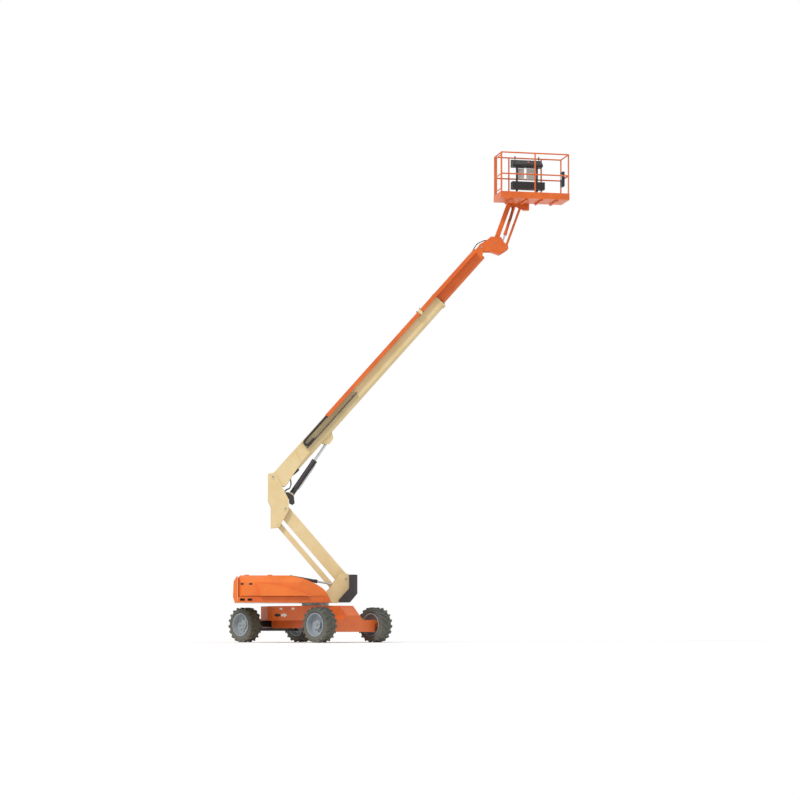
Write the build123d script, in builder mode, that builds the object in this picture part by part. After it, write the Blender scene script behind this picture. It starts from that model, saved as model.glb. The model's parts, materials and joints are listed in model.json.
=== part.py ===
"""Self-propelled articulated and telescopic boom lift, in millimetres.

Row frame: +Z up, ground at Z = 0, origin under the slewing axis. +X runs along the chassis from the
steered axle to the driven axle, and -Y is the near side. Everything above the slewing ring is drawn
in the boom's own frame, which is turned by SLEW about Z: x along the boom, y across, z up.
"""

from build123d import *
from math import atan2, cos, degrees, hypot, radians, sin
import os

os.makedirs("parts", exist_ok=True)

# Fits
RUN = 0.3  # running gap between a pin and its bore, or between two turning faces
SLIP = 2.0  # side gap between an eye and the lugs beside it

# Chassis
WHEELBASE = 2800
TRACK = 2000
STEER_X = -1606
DRIVE_X = STEER_X + WHEELBASE
SIDES = (-1, 1)

# Tyre and rim
TYRE_RADIUS = 457
TYRE_WIDTH = 360
TREAD_RADIUS = 430
SIDEWALL_RADIUS = 385
BEAD_RADIUS = 340
SHOULDER_DROP = 30
TYRE_FACETS = 36
LUG_FOOT_RADIUS = 400
LUG_WIDTH = 60
LUG_SLANT = 90
LUG_INNER = 15
RIM_RADIUS = 300
RIM_WIDTH = 340
RIM_WALL = 17
RIM_DISC = 20
DISC_OUT = 15
HUB_RADIUS = {"drive": 110, "steer": 95}
HUB_OUT = {"drive": 90, "steer": 55}

# Chassis weldment
FRAME_BOTTOM = 570
FRAME_TOP = 948
FRAME_HALF = 620
FRAME_PANEL = (-1150, 500)
FRAME_STEER_HALF = 380
FRAME_END_X = -1760
NOSE_HALF = 240
NOSE_X = 1150
NOSE_START = 700
FLARE_X = (960, 1389)
NOSE_END_X = 1390
NOSE_SLOPE_Z = 700
NOSE_FOOT_HALF = 390
SPINE_HALF = 350
SPINE_BOTTOM = 370
SPINE_X = (-1290, 1000)

# Axles, knuckles and steering
AXLE_BOX_HALF = 790
AXLE_BOX_BOTTOM = 275
DRIVE_HOUSING = 130
HOUSING_START = 600
KINGPIN_Y = 800
KINGPIN_RADIUS = 28
BEAM_HALF = 640
BEAM_WIDTH = 140
BEAM_BOTTOM = 300
EAR = 45
EAR_END = 860
KNUCKLE_RADIUS = 60
SPINDLE_RADIUS = 65
STEER_ARM = (240, -70)
STEER_ARM_HALF = 35
STEER_ARM_THICK = 30
STEER_ROD_Z = 400
STEER_ROD_RADIUS = 20
STEER_BARREL_RADIUS = 45
STEER_BARREL_HALF = 260

# Slewing ring and turntable
SLEW = 48
RING_RADIUS = 350
DECK_BOTTOM = 1026
DECK_TOP = 1056
DECK_HALF = 1000
DECK_X = (-2011.7, 330)
TONGUE_HALF = 330
WEB_Y = 380
WEB_THICK = 15
HOOD_INNER = 400
HOOD_OUTER = 1050
HOOD_BOTTOM = 1180
HOOD_WALL = 22
HOOD_SHOULDER = 90
HOOD_TAIL_X = -2005
HOOD_NOSE_X = 315
HOOD_TOP = 1720
HOOD_TAIL_DROP = 60
HOOD_TUCK = 30
HOOD_NOSE_TAPER = 190
HOOD_CREST_X = -1100
HOOD_BROW = (-538, 1690)
HOOD_FALL = (88, 1441)
HOOD_LIP = (215, 1340)
RECESS_START = (-1530, 1520)
RECESS_BROW = (-787, 1416)
RECESS_END = (-195, 1200)
RECESS_DEPTH = 12
LEAF_THICK = 8
LEAF_FOOT = 12
VENTS = ((-1950, -1830), (-1760, -1640))
VENT_Z = (1068, 1130)
HOOD_HINGE = (387, 1740)
HINGE_STATIONS = (-1780, -1180)
HINGE_HALF = 50
HINGE_PIN = 6
HINGE_EYE = 11
HINGE_EAR = 12
SILL_THICK = 30
SILL_GAP = 8
TAIL_X = (-2132, -2012)
TAIL_TOP = 1690
TAIL_GAP_HALF = 260
TOWER_PLATE_Y = 215
TOWER_PLATE = 25
COUNTERWEIGHT_HALF = 430
COUNTERWEIGHT_X = 1079
COUNTERWEIGHT_CUT = 90

# Pins in the boom's frame, as (x, z)
TOWER_FOOT = (779, 1657)
LINK_FOOT = (572, 1285)
TOWER_LENGTH = 2391
TOWER_ANGLE = 130.8
MAIN_PIVOT = (-1104, 4286)
MAIN_ANGLE = 48.3
LIFT_FOOT = (-642, 3813)
LIFT_EYE_UV = (1673, -440)
TOWER_RAM_FOOT = (-640, 1700)
TOWER_RAM_LUG = (488, 1502)
JIB_FOOT = (4686, 10420)
JIB_LINK_FOOT = (4966, 10300)
JIB_LENGTH = 1164
JIB_ANGLE = 70
JIB_RAM_FOOT = (4862, 10367)
JIB_RAM_UV = (1113, -145)
ROTATOR_X = 5500
TIP_U = 8100
TIP_V = -60

# Pin radii and half widths across the boom
TOWER_PIN = 38
LINK_PIN = 28
JIB_PIN = 22
TIP_PIN = 30
PIN_HALF = 400
TOWER_HALF = 88
TOWER_UP = -98
TOWER_DOWN = 220
LINK_HALF = 60
LINK_UP = 75
LINK_DOWN = 60
LINK_LUG = 20
UPRIGHT_Y = 185
UPRIGHT_PLATE = 20
BOSS = 32
BOSS_THICK = 6
LIFT_LUG_Y = 78
TIP_Y = 86
TIP_PLATE = 18
JIB_HALF = 55
JIB_DEPTH = 61
JIB_LUG_Y = 47
JIB_BAR_Y = 62

# Cylinders: radii, eye sizes and lengths from the foot pin
RAM_EYE_HALF = 40
RAM_LUG = 14
TOWER_RAM_Y = 156
TOWER_RAM = {
    "radius": 42, "rod": 25, "eye": 48, "eye_half": 40, "pin": 22,
    "length": 700, "bore": 110, "rod_start": 260, "rod_eye": 40,
}
LIFT_RAM = {
    "radius": 70, "rod": 35, "eye": 72, "eye_half": 76, "pin": 30,
    "length": 1110, "bore": 120, "rod_start": 760, "rod_eye": 52,
}
JIB_RAM = {
    "radius": 40, "rod": 22, "eye": 40, "eye_half": 42, "pin": 18,
    "length": 815, "bore": 90, "rod_start": 480, "rod_eye": 34,
}

# Main boom, fly boom and what rides on them, as distances along and above the boom's pivot line
MAIN_HALF = 160
MAIN_TOP = 50
MAIN_BOTTOM = -360
MAIN_START = 130
MAIN_END = 6330
MAIN_WALL = 12
MAIN_BEVEL = 70
FLY_HALF = 120
FLY_TOP = 20
FLY_BOTTOM = -300
FLY_START = 2010
FLY_END = 7960
FLY_WALL = 10
FLY_BEVEL = 55
COLLAR = 22
STIFFENER = 8
STIFFENER_U = 5600
COLLAR_LENGTH = 60
PAD_LENGTH = 80
PUSH_Y = 184
PUSH_V = -45
PUSH_SIZE = 100
PUSH_WALL = 5
PUSH_START = 2104
GUIDE_WALL = 14
GUIDE_U = (5700, 5780)
CHAIN_LOW = -150
CHAIN_HALF = 27
CHAIN_BED = (1150, 3080)
BED_THICK = 19.7
CHAIN_BEND_U = 1250
CHAIN_UPPER = 2250
LINK_PITCH = 90
LINK_GROOVE = 10
CHAIN_LOWER = 200

# Platform
PLATFORM_ANGLE = 8
PLATFORM_LENGTH = 1830
PLATFORM_DEPTH = 760
PLATFORM_Z = 11430
FLOOR_THICK = 45
DECK_SHEET = 3
LATCH_SET = 150
ROTATOR_Z = (11290, 11600)
ROTATOR_RADIUS = 92
CAP_THICK = 60
FLOOR_BEAMS = (-600, -200, 200, 600)
BEAM_HALF_WIDTH = 25
BEAM_DEPTH = 40
CAP_HALF = 110
BACK_POST = (513, 358)
CONSOLE_X = (-470, 330)
GATE_TUBE = 16
LINE_TUBE = 18
GATE_GAP = 6
GATE_BAR = 14
GATE_PIN = 7
PLATFORM_BACK = -190
TOE_HEIGHT = 166
TOE_THICK = 4
RAIL_RADIUS = 19
RAIL_TOP = 1170
RAIL_MID = 624


def boom_point(x, y, z):
    """A point of the boom's frame in the row frame."""
    c, s = cos(radians(SLEW)), sin(radians(SLEW))
    return (x * c - y * s, x * s + y * c, z)


def boom_direction(x, y, z):
    return Vector(*boom_point(x, y, z))


def side_plane(y, origin=(0, 0), angle=0):
    """Upright plane across the boom's y: local x runs at `angle` above the boom's x, normal to -y."""
    x_dir = boom_direction(cos(radians(angle)), 0, sin(radians(angle)))
    return Plane(origin=boom_point(origin[0], y, origin[1]), x_dir=x_dir, z_dir=boom_direction(0, -1, 0))


def along(origin, angle, u, v):
    """The boom-frame (x, z) of the point u along and v above a line through `origin`."""
    c, s = cos(radians(angle)), sin(radians(angle))
    return (origin[0] + u * c - v * s, origin[1] + u * s + v * c)


def local(origin, angle, point):
    """The (u, v) of a boom-frame (x, z) on a line through `origin`."""
    c, s = cos(radians(angle)), sin(radians(angle))
    dx, dz = point[0] - origin[0], point[1] - origin[1]
    return (dx * c + dz * s, dz * c - dx * s)


def angle_of(start, end):
    return degrees(atan2(end[1] - start[1], end[0] - start[0]))


def plate(points, y_low, y_high, origin=(0, 0), angle=0, mode=Mode.ADD):
    """A flat plate from an outline in the boom's upright plane, between two y values."""
    with BuildSketch(side_plane(y_high, origin, angle)) as outline:
        Polygon(*points, align=None)
    extrude(outline.sketch, amount=y_high - y_low, mode=mode)


def corners(x_low, x_high, z_low, z_high):
    """The four corners of an upright rectangle, for a plate."""
    return [(x_low, z_low), (x_high, z_low), (x_high, z_high), (x_low, z_high)]


def disc(centre, radius, y_low, y_high, mode=Mode.ADD):
    """A round pin, bush or bore across the boom."""
    with BuildSketch(side_plane(y_high, centre)) as circle:
        Circle(radius)
    extrude(circle.sketch, amount=y_high - y_low, mode=mode)


def save(piece, label):
    piece.part.label = label
    export_step(piece.part, f"parts/{label}.step")


DISC_BACK = TRACK / 2 + DISC_OUT - RIM_DISC - RUN
TOWER_TOP = along(TOWER_FOOT, TOWER_ANGLE, TOWER_LENGTH, 0)
LINK_TOP = along(LINK_FOOT, TOWER_ANGLE, TOWER_LENGTH, 0)
LIFT_EYE = along(MAIN_PIVOT, MAIN_ANGLE, *LIFT_EYE_UV)
JIB_TOP = along(JIB_FOOT, JIB_ANGLE, JIB_LENGTH, 0)
JIB_LINK_TOP = along(JIB_LINK_FOOT, JIB_ANGLE, JIB_LENGTH, 0)
JIB_RAM_EYE = along(JIB_FOOT, JIB_ANGLE, *JIB_RAM_UV)
TIP_PIVOT = along(MAIN_PIVOT, MAIN_ANGLE, TIP_U, TIP_V)


# Chassis weldment: tapered box, sloped nose at the driven end, spine below
with BuildPart() as chassis_frame:
    half_plan = [
        (FRAME_END_X, 300),
        (FRAME_PANEL[0] - (FRAME_HALF - FRAME_STEER_HALF), FRAME_STEER_HALF),
        (FRAME_PANEL[0], FRAME_HALF),
        (FRAME_PANEL[1], FRAME_HALF),
        (NOSE_X - 4, NOSE_HALF - 4),
    ]
    with BuildSketch(Plane.XY.offset(FRAME_BOTTOM)):
        Polygon(*half_plan, *[(x, -y) for x, y in reversed(half_plan)], align=None)
    extrude(amount=FRAME_TOP - FRAME_BOTTOM)
    with BuildSketch(Plane.XZ):
        Polygon(
            (NOSE_START, FRAME_BOTTOM),
            (NOSE_END_X, FRAME_BOTTOM),
            (NOSE_END_X, NOSE_SLOPE_Z),
            (NOSE_X, FRAME_TOP),
            (NOSE_START, FRAME_TOP),
            align=None,
        )
    extrude(amount=NOSE_HALF, both=True)
    with BuildSketch(Plane.YZ.offset(FLARE_X[0])):
        Polygon(
            (-NOSE_FOOT_HALF, FRAME_BOTTOM),
            (NOSE_FOOT_HALF, FRAME_BOTTOM),
            (NOSE_HALF - 1, NOSE_SLOPE_Z),
            (1 - NOSE_HALF, NOSE_SLOPE_Z),
            align=None,
        )
    extrude(amount=FLARE_X[1] - FLARE_X[0])
    with BuildSketch(Plane.XY.offset(SPINE_BOTTOM)):
        with Locations(((SPINE_X[0] + SPINE_X[1]) / 2, 0)):
            Rectangle(SPINE_X[1] - SPINE_X[0], 2 * SPINE_HALF)
    extrude(amount=FRAME_BOTTOM - SPINE_BOTTOM)
save(chassis_frame, "chassis_frame")

# Driven axle: box across the nose with a gear housing at each end
with BuildPart() as drive_axle:
    with BuildSketch(Plane.XY.offset(AXLE_BOX_BOTTOM)):
        with Locations(((SPINE_X[1] + NOSE_END_X) / 2, 0)):
            Rectangle(NOSE_END_X - SPINE_X[1], 2 * AXLE_BOX_HALF)
    extrude(amount=FRAME_BOTTOM - AXLE_BOX_BOTTOM)
    for side in SIDES:
        housing = Plane(origin=(DRIVE_X, side * HOUSING_START, TYRE_RADIUS), x_dir=(1, 0, 0), z_dir=(0, side, 0))
        with BuildSketch(housing):
            Circle(DRIVE_HOUSING)
        extrude(amount=DISC_BACK - HOUSING_START)
save(drive_axle, "drive_axle")

# Steered axle: beam with two ears round each kingpin
beam_top = FRAME_BOTTOM
with BuildPart() as steer_axle:
    with BuildSketch(Plane.XY.offset(BEAM_BOTTOM)):
        with Locations((STEER_X, 0)):
            Rectangle(BEAM_WIDTH, 2 * BEAM_HALF)
    extrude(amount=beam_top - BEAM_BOTTOM)
    for z in (BEAM_BOTTOM, beam_top - EAR):
        with BuildSketch(Plane.XY.offset(z)):
            with Locations((STEER_X, 0)):
                Rectangle(BEAM_WIDTH, 2 * EAR_END)
            with Locations((STEER_X, -KINGPIN_Y), (STEER_X, KINGPIN_Y)):
                Circle(KINGPIN_RADIUS + RUN, mode=Mode.SUBTRACT)
        extrude(amount=EAR)
save(steer_axle, "steer_axle")

# Steering knuckles: kingpin, boss, spindle and steering arm
for label, side in (("knuckle_near", -1), ("knuckle_far", 1)):
    with BuildPart() as knuckle:
        with BuildSketch(Plane.XY.offset(BEAM_BOTTOM)):
            with Locations((STEER_X, side * KINGPIN_Y)):
                Circle(KINGPIN_RADIUS)
        extrude(amount=beam_top - BEAM_BOTTOM)
        with BuildSketch(Plane.XY.offset(BEAM_BOTTOM + EAR + SLIP)):
            with Locations((STEER_X, side * KINGPIN_Y)):
                Circle(KNUCKLE_RADIUS)
        extrude(amount=beam_top - BEAM_BOTTOM - 2 * (EAR + SLIP))
        spindle_plane = Plane(
            origin=(STEER_X, side * KINGPIN_Y, TYRE_RADIUS), x_dir=(1, 0, 0), z_dir=(0, side, 0)
        )
        with BuildSketch(spindle_plane):
            Circle(SPINDLE_RADIUS)
        extrude(amount=DISC_BACK - KINGPIN_Y)
        arm_end = (STEER_X + STEER_ARM[0], side * (KINGPIN_Y + STEER_ARM[1]))
        arm_z = STEER_ROD_Z + STEER_ROD_RADIUS + SLIP
        with BuildSketch(Plane.XY.offset(arm_z)):
            Polygon(
                (STEER_X, side * (KINGPIN_Y - STEER_ARM_HALF)),
                (STEER_X, side * (KINGPIN_Y + STEER_ARM_HALF)),
                (arm_end[0], arm_end[1] + side * STEER_ARM_HALF),
                (arm_end[0], arm_end[1] - side * STEER_ARM_HALF),
                align=None,
            )
            with Locations(arm_end):
                Circle(STEER_ARM_HALF)
        extrude(amount=STEER_ARM_THICK)
    save(knuckle, label)

# Steering cylinder: barrel on a bracket of the axle beam, and its double-ended rod
steer_rod_x = STEER_X + STEER_ARM[0]
with BuildPart() as steer_cylinder:
    with BuildSketch(Plane.XZ.offset(-STEER_BARREL_HALF)):
        with Locations((steer_rod_x, STEER_ROD_Z)):
            Circle(STEER_BARREL_RADIUS)
        with Locations(((STEER_X + BEAM_WIDTH / 2 + steer_rod_x) / 2, STEER_ROD_Z)):
            Rectangle(steer_rod_x - STEER_X - BEAM_WIDTH / 2, 40)
        with Locations((steer_rod_x, STEER_ROD_Z)):
            Circle(STEER_ROD_RADIUS + RUN, mode=Mode.SUBTRACT)
    extrude(amount=2 * STEER_BARREL_HALF)
save(steer_cylinder, "steer_cylinder")

with BuildPart() as steer_rod:
    eye_y = KINGPIN_Y + STEER_ARM[1]
    with BuildSketch(Plane.XZ.offset(-eye_y)):
        with Locations((steer_rod_x, STEER_ROD_Z)):
            Circle(STEER_ROD_RADIUS)
    extrude(amount=2 * eye_y)
    with BuildSketch(Plane.XY.offset(STEER_ROD_Z - STEER_ROD_RADIUS)):
        with Locations((steer_rod_x, -eye_y), (steer_rod_x, eye_y)):
            Circle(STEER_ARM_HALF)
    extrude(amount=2 * STEER_ROD_RADIUS)
save(steer_rod, "steer_rod")

# Slewing ring
with BuildPart() as slew_ring:
    with BuildSketch(Plane.XY.offset(FRAME_TOP)):
        Circle(RING_RADIUS)
    extrude(amount=DECK_BOTTOM - RUN - FRAME_TOP)
save(slew_ring, "slew_ring")

# Tyre form: a many-sided carcass with staggered chevron lugs, its axis along Z
lug_reach = LUG_SLANT / 2 + LUG_WIDTH / 2
lug_top = (TYRE_RADIUS**2 - lug_reach**2) ** 0.5
tyre_half = TYRE_WIDTH / 2
facet_step = 360 / TYRE_FACETS
with BuildPart() as tyre_form:
    for z, amount, radius_low, radius_high in (
        (-tyre_half, SHOULDER_DROP, SIDEWALL_RADIUS, TREAD_RADIUS),
        (-tyre_half + SHOULDER_DROP, TYRE_WIDTH - 2 * SHOULDER_DROP, TREAD_RADIUS, TREAD_RADIUS),
        (tyre_half - SHOULDER_DROP, SHOULDER_DROP, TREAD_RADIUS, SIDEWALL_RADIUS),
    ):
        with BuildSketch(Plane.XY.offset(z)):
            RegularPolygon(radius_low, TYRE_FACETS, major_radius=False)
        with BuildSketch(Plane.XY.offset(z + amount)):
            RegularPolygon(radius_high, TYRE_FACETS, major_radius=False)
        loft(ruled=True)
    for k in range(TYRE_FACETS):
        turn = radians(facet_step * k)
        half_sign = 1 if k % 2 else -1
        radial = Vector(cos(turn), sin(turn), 0)
        facet = Plane(origin=radial * LUG_FOOT_RADIUS, x_dir=(0, 0, 1), z_dir=radial)
        outer = half_sign * (tyre_half - 2)
        inner = half_sign * LUG_INNER
        with BuildSketch(facet):
            Polygon(
                (inner, -LUG_SLANT / 2 - LUG_WIDTH / 2),
                (inner, -LUG_SLANT / 2 + LUG_WIDTH / 2),
                (outer, LUG_SLANT / 2 + LUG_WIDTH / 2),
                (outer, LUG_SLANT / 2 - LUG_WIDTH / 2),
                align=None,
            )
        extrude(amount=lug_top - LUG_FOOT_RADIUS)
    for z, high in ((-tyre_half, 1), (tyre_half, -1)):
        with BuildSketch(Plane.XY.offset(z)):
            RegularPolygon(BEAD_RADIUS, TYRE_FACETS, major_radius=False)
        with BuildSketch(Plane.XY.offset(z + high * SHOULDER_DROP)):
            RegularPolygon(RIM_RADIUS + RUN, TYRE_FACETS, major_radius=False)
        loft(ruled=True, mode=Mode.SUBTRACT)
    with BuildSketch(Plane.XY.offset(-tyre_half)):
        RegularPolygon(RIM_RADIUS + RUN, TYRE_FACETS, major_radius=False)
    extrude(amount=TYRE_WIDTH, mode=Mode.SUBTRACT)

# Wheels: the tyre form and a deep rim at each corner, hub outwards
lug_corner = degrees(atan2(lug_reach, lug_top))
WHEELS = (
    ("steer_near", "steer", STEER_X, -1),
    ("steer_far", "steer", STEER_X, 1),
    ("drive_near", "drive", DRIVE_X, -1),
    ("drive_far", "drive", DRIVE_X, 1),
)
for name, axle, wheel_x, side in WHEELS:
    centre = (wheel_x, side * TRACK / 2, TYRE_RADIUS)
    axis_plane = Plane(origin=centre, x_dir=(0, 0, -1), z_dir=(0, side, 0))
    with BuildPart() as tyre:
        with Locations(axis_plane.location * Rotation(0, 0, -lug_corner)):
            add(tyre_form.part)
    save(tyre, f"tyre_{name}")

    rim_half = RIM_WIDTH / 2
    hub_r, hub_out = HUB_RADIUS[axle], HUB_OUT[axle]
    section = Plane(origin=centre, x_dir=(1, 0, 0), z_dir=(0, 0, side))
    with BuildPart() as rim:
        with BuildSketch(section):
            Polygon(
                (0, DISC_OUT - RIM_DISC),
                (RIM_RADIUS - 2 * RIM_WALL, DISC_OUT - RIM_DISC),
                (RIM_RADIUS - RIM_WALL, -rim_half),
                (RIM_RADIUS, -rim_half),
                (RIM_RADIUS, rim_half),
                (RIM_RADIUS - RIM_WALL, rim_half),
                (RIM_RADIUS - 2 * RIM_WALL, DISC_OUT),
                (hub_r, DISC_OUT),
                (hub_r, hub_out),
                (0, hub_out),
                align=None,
            )
        revolve(axis=Axis(centre, (0, 1, 0)))
    save(rim, f"rim_{name}")

# Turntable weldment: deck, side webs of the channel, tower plates with their pins
tower_plate_outline = [
    (150, DECK_TOP),
    (150, 1200),
    (360, 1400),
    (600, 1760),
    (690, 1805),
    (862, 1770),
    (862, 1400),
    (592, 1101),
    (592, DECK_TOP),
]
web_outline = [
    (DECK_X[0] + 40, DECK_TOP),
    (DECK_X[0] + 40, 1640),
    (-1150, 1670),
    (-560, 1640),
    (-160, 1480),
    (100, 1300),
    (100, DECK_TOP),
]
with BuildPart() as turntable_frame:
    plate(corners(*DECK_X, DECK_BOTTOM, DECK_TOP),
          -DECK_HALF, DECK_HALF)
    plate([(DECK_X[1], DECK_BOTTOM), (592, DECK_BOTTOM), (592, DECK_TOP), (DECK_X[1], DECK_TOP)],
          -TONGUE_HALF, TONGUE_HALF)
    for side in SIDES:
        web = sorted((side * WEB_Y, side * (WEB_Y + WEB_THICK)))
        plate(web_outline, *web)
        tower_plate = sorted((side * TOWER_PLATE_Y, side * (TOWER_PLATE_Y + TOWER_PLATE)))
        plate(tower_plate_outline, *tower_plate)
        # Ears and pins of the hood hinges, on top of the web
        for x in HINGE_STATIONS:
            for end in (-1, 1):
                ear = sorted((x + end * (HINGE_HALF + SLIP), x + end * (HINGE_HALF + SLIP + HINGE_EAR)))
                plate([(ear[0], 1630), (ear[1], 1630), (ear[1], HOOD_HINGE[1] + HINGE_EAR),
                       (ear[0], HOOD_HINGE[1] + HINGE_EAR)], *web)
            hinge_plane = Plane(origin=boom_point(x - HINGE_HALF - SLIP, side * HOOD_HINGE[0], HOOD_HINGE[1]),
                                x_dir=(0, 0, 1), z_dir=boom_direction(1, 0, 0))
            with BuildSketch(hinge_plane):
                Circle(HINGE_PIN)
            extrude(amount=2 * (HINGE_HALF + SLIP))
    pin_half = TOWER_PLATE_Y + TOWER_PLATE + 12
    disc(TOWER_FOOT, TOWER_PIN, -pin_half, pin_half)
    # Lugs of the link, standing on the deck between the tower plates
    for side in SIDES:
        link_lug = sorted((side * (LINK_HALF + SLIP), side * (LINK_HALF + SLIP + LINK_LUG)))
        plate([(470, DECK_TOP), (570, DECK_TOP), (632, LINK_FOOT[1]), (512, LINK_FOOT[1])], *link_lug)
        disc(LINK_FOOT, 60, *link_lug)
    disc(LINK_FOOT, LINK_PIN, -LINK_HALF - SLIP - LINK_LUG, LINK_HALF + SLIP + LINK_LUG)
    # Bracket of the tower cylinder, on the near web
    ram_x, ram_z = TOWER_RAM_FOOT
    ram_low, ram_high = -TOWER_RAM_Y - RAM_EYE_HALF - SLIP, -TOWER_RAM_Y + RAM_EYE_HALF + SLIP
    for y in (ram_low - RAM_LUG, ram_high):
        plate([(ram_x - 60, ram_z - 110), (ram_x + 60, ram_z - 110), (ram_x + 45, ram_z + 40), (ram_x - 45, ram_z + 40)],
              y, y + RAM_LUG)
    plate(corners(ram_x - 60, ram_x + 60, ram_z - 140, ram_z - 110),
          -WEB_Y, ram_high + RAM_LUG)
    disc(TOWER_RAM_FOOT, TOWER_RAM["pin"], ram_low - RAM_LUG, ram_high + RAM_LUG)
save(turntable_frame, "turntable_frame")

with BuildPart() as counterweight:
    plate([(592 + 1, 1040), (886, 1040), (1078, 1268), (1078, 1756), (863, 1756), (863, 1399), (593, 1100)],
          -COUNTERWEIGHT_HALF, COUNTERWEIGHT_HALF)
    # Corners of the plan cut back
    for side in SIDES:
        corner = Plane(origin=boom_point(0, 0, DECK_BOTTOM), x_dir=boom_direction(1, 0, 0), z_dir=(0, 0, 1))
        with BuildSketch(corner):
            Polygon(
                (COUNTERWEIGHT_X, side * (COUNTERWEIGHT_HALF - COUNTERWEIGHT_CUT)),
                (COUNTERWEIGHT_X, side * (COUNTERWEIGHT_HALF + 1)),
                (COUNTERWEIGHT_X - COUNTERWEIGHT_CUT, side * (COUNTERWEIGHT_HALF + 1)),
                (COUNTERWEIGHT_X - COUNTERWEIGHT_CUT, side * COUNTERWEIGHT_HALF),
                align=None,
            )
        extrude(amount=HOOD_OUTER, mode=Mode.SUBTRACT)
save(counterweight, "counterweight")

with BuildPart() as tail_cover:
    plate([(TAIL_X[1], DECK_BOTTOM), (-2088, DECK_BOTTOM), (TAIL_X[0], 1190), (-2117, 1560), (-2040, TAIL_TOP), (TAIL_X[1], TAIL_TOP)],
          -HOOD_OUTER, HOOD_OUTER)
    plate([(TAIL_X[0], 1090), (TAIL_X[1], 1090), (TAIL_X[1], TAIL_TOP), (TAIL_X[0], TAIL_TOP)],
          -TAIL_GAP_HALF, TAIL_GAP_HALF, mode=Mode.SUBTRACT)
save(tail_cover, "tail_cover")

for label, y_low, y_high, x_low, x_high, z_high in (
    ("battery_pack", DECK_HALF - 550, DECK_HALF - 50, -1900, -500, 1480),
    ("power_unit", 50 - DECK_HALF, 550 - DECK_HALF, -1900, -600, 1480),
):
    with BuildPart() as block:
        plate(corners(x_low, x_high, DECK_TOP, z_high), y_low, y_high)
    save(block, label)

# Fixed sills below the hoods
for label, side in (("sill_near", -1), ("sill_far", 1)):
    with BuildPart() as sill:
        low_high = sorted((side * (DECK_HALF), side * (DECK_HALF + SILL_THICK)))
        sill_top = HOOD_BOTTOM - SILL_GAP
        plate(
            [(HOOD_TAIL_X, DECK_BOTTOM), (343, DECK_BOTTOM), (343, 1110), (318, sill_top), (HOOD_TAIL_X, sill_top)],
            *low_high,
        )
        for vent in VENTS:
            plate(corners(*vent, *VENT_Z), *low_high, mode=Mode.SUBTRACT)
    save(sill, label)


def hood_form(side, inset):
    """A hood's form, set in by `inset`: its side view cut by its end view and its plan."""
    open_end = 1 if inset else 0
    low = HOOD_BOTTOM - open_end
    inner = HOOD_INNER - open_end
    outer = HOOD_OUTER - inset
    tail = HOOD_TAIL_X + inset
    nose = HOOD_NOSE_X - inset
    level = HOOD_TOP - inset
    with BuildPart() as form:
        with BuildSketch(side_plane(0)):
            with BuildLine():
                Polyline(
                    (nose, low),
                    (tail, low),
                    (tail, level - HOOD_TAIL_DROP),
                    (tail + HOOD_TAIL_DROP, level),
                    (HOOD_CREST_X, level),
                )
                ThreePointArc((HOOD_CREST_X, level), (HOOD_BROW[0], HOOD_BROW[1] - inset), (HOOD_FALL[0] - inset / 2, HOOD_FALL[1] - inset))
                ThreePointArc(
                    (HOOD_FALL[0] - inset / 2, HOOD_FALL[1] - inset),
                    (HOOD_LIP[0] - inset, HOOD_LIP[1] - inset),
                    (nose, low),
                )
            make_face()
        extrude(amount=2 * HOOD_OUTER, both=True)
        with BuildSketch(Plane(origin=boom_point(0, 0, 0), x_dir=boom_direction(0, 1, 0), z_dir=boom_direction(1, 0, 0))):
            Polygon(
                (side * inner, low),
                (side * (outer - HOOD_TUCK), low),
                (side * outer, low + HOOD_TUCK),
                (side * outer, level - HOOD_SHOULDER * 2),
                (side * (outer - HOOD_SHOULDER / 2), level - HOOD_SHOULDER * 0.7),
                (side * (outer - HOOD_SHOULDER * 1.6), level),
                (side * inner, level),
                align=None,
            )
        extrude(amount=3 * HOOD_OUTER, both=True, mode=Mode.INTERSECT)
        with BuildSketch(Plane(origin=boom_point(0, 0, 0), x_dir=boom_direction(1, 0, 0), z_dir=(0, 0, 1))):
            Polygon(
                (tail, side * inner),
                (tail, side * (outer - HOOD_SHOULDER)),
                (tail + HOOD_SHOULDER, side * outer),
                (HOOD_FALL[0] - HOOD_OUTER / 2, side * outer),
                (nose, side * (outer - HOOD_NOSE_TAPER)),
                (nose, side * inner),
                align=None,
            )
        extrude(amount=3 * HOOD_OUTER, mode=Mode.INTERSECT)
    return form.part


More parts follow.
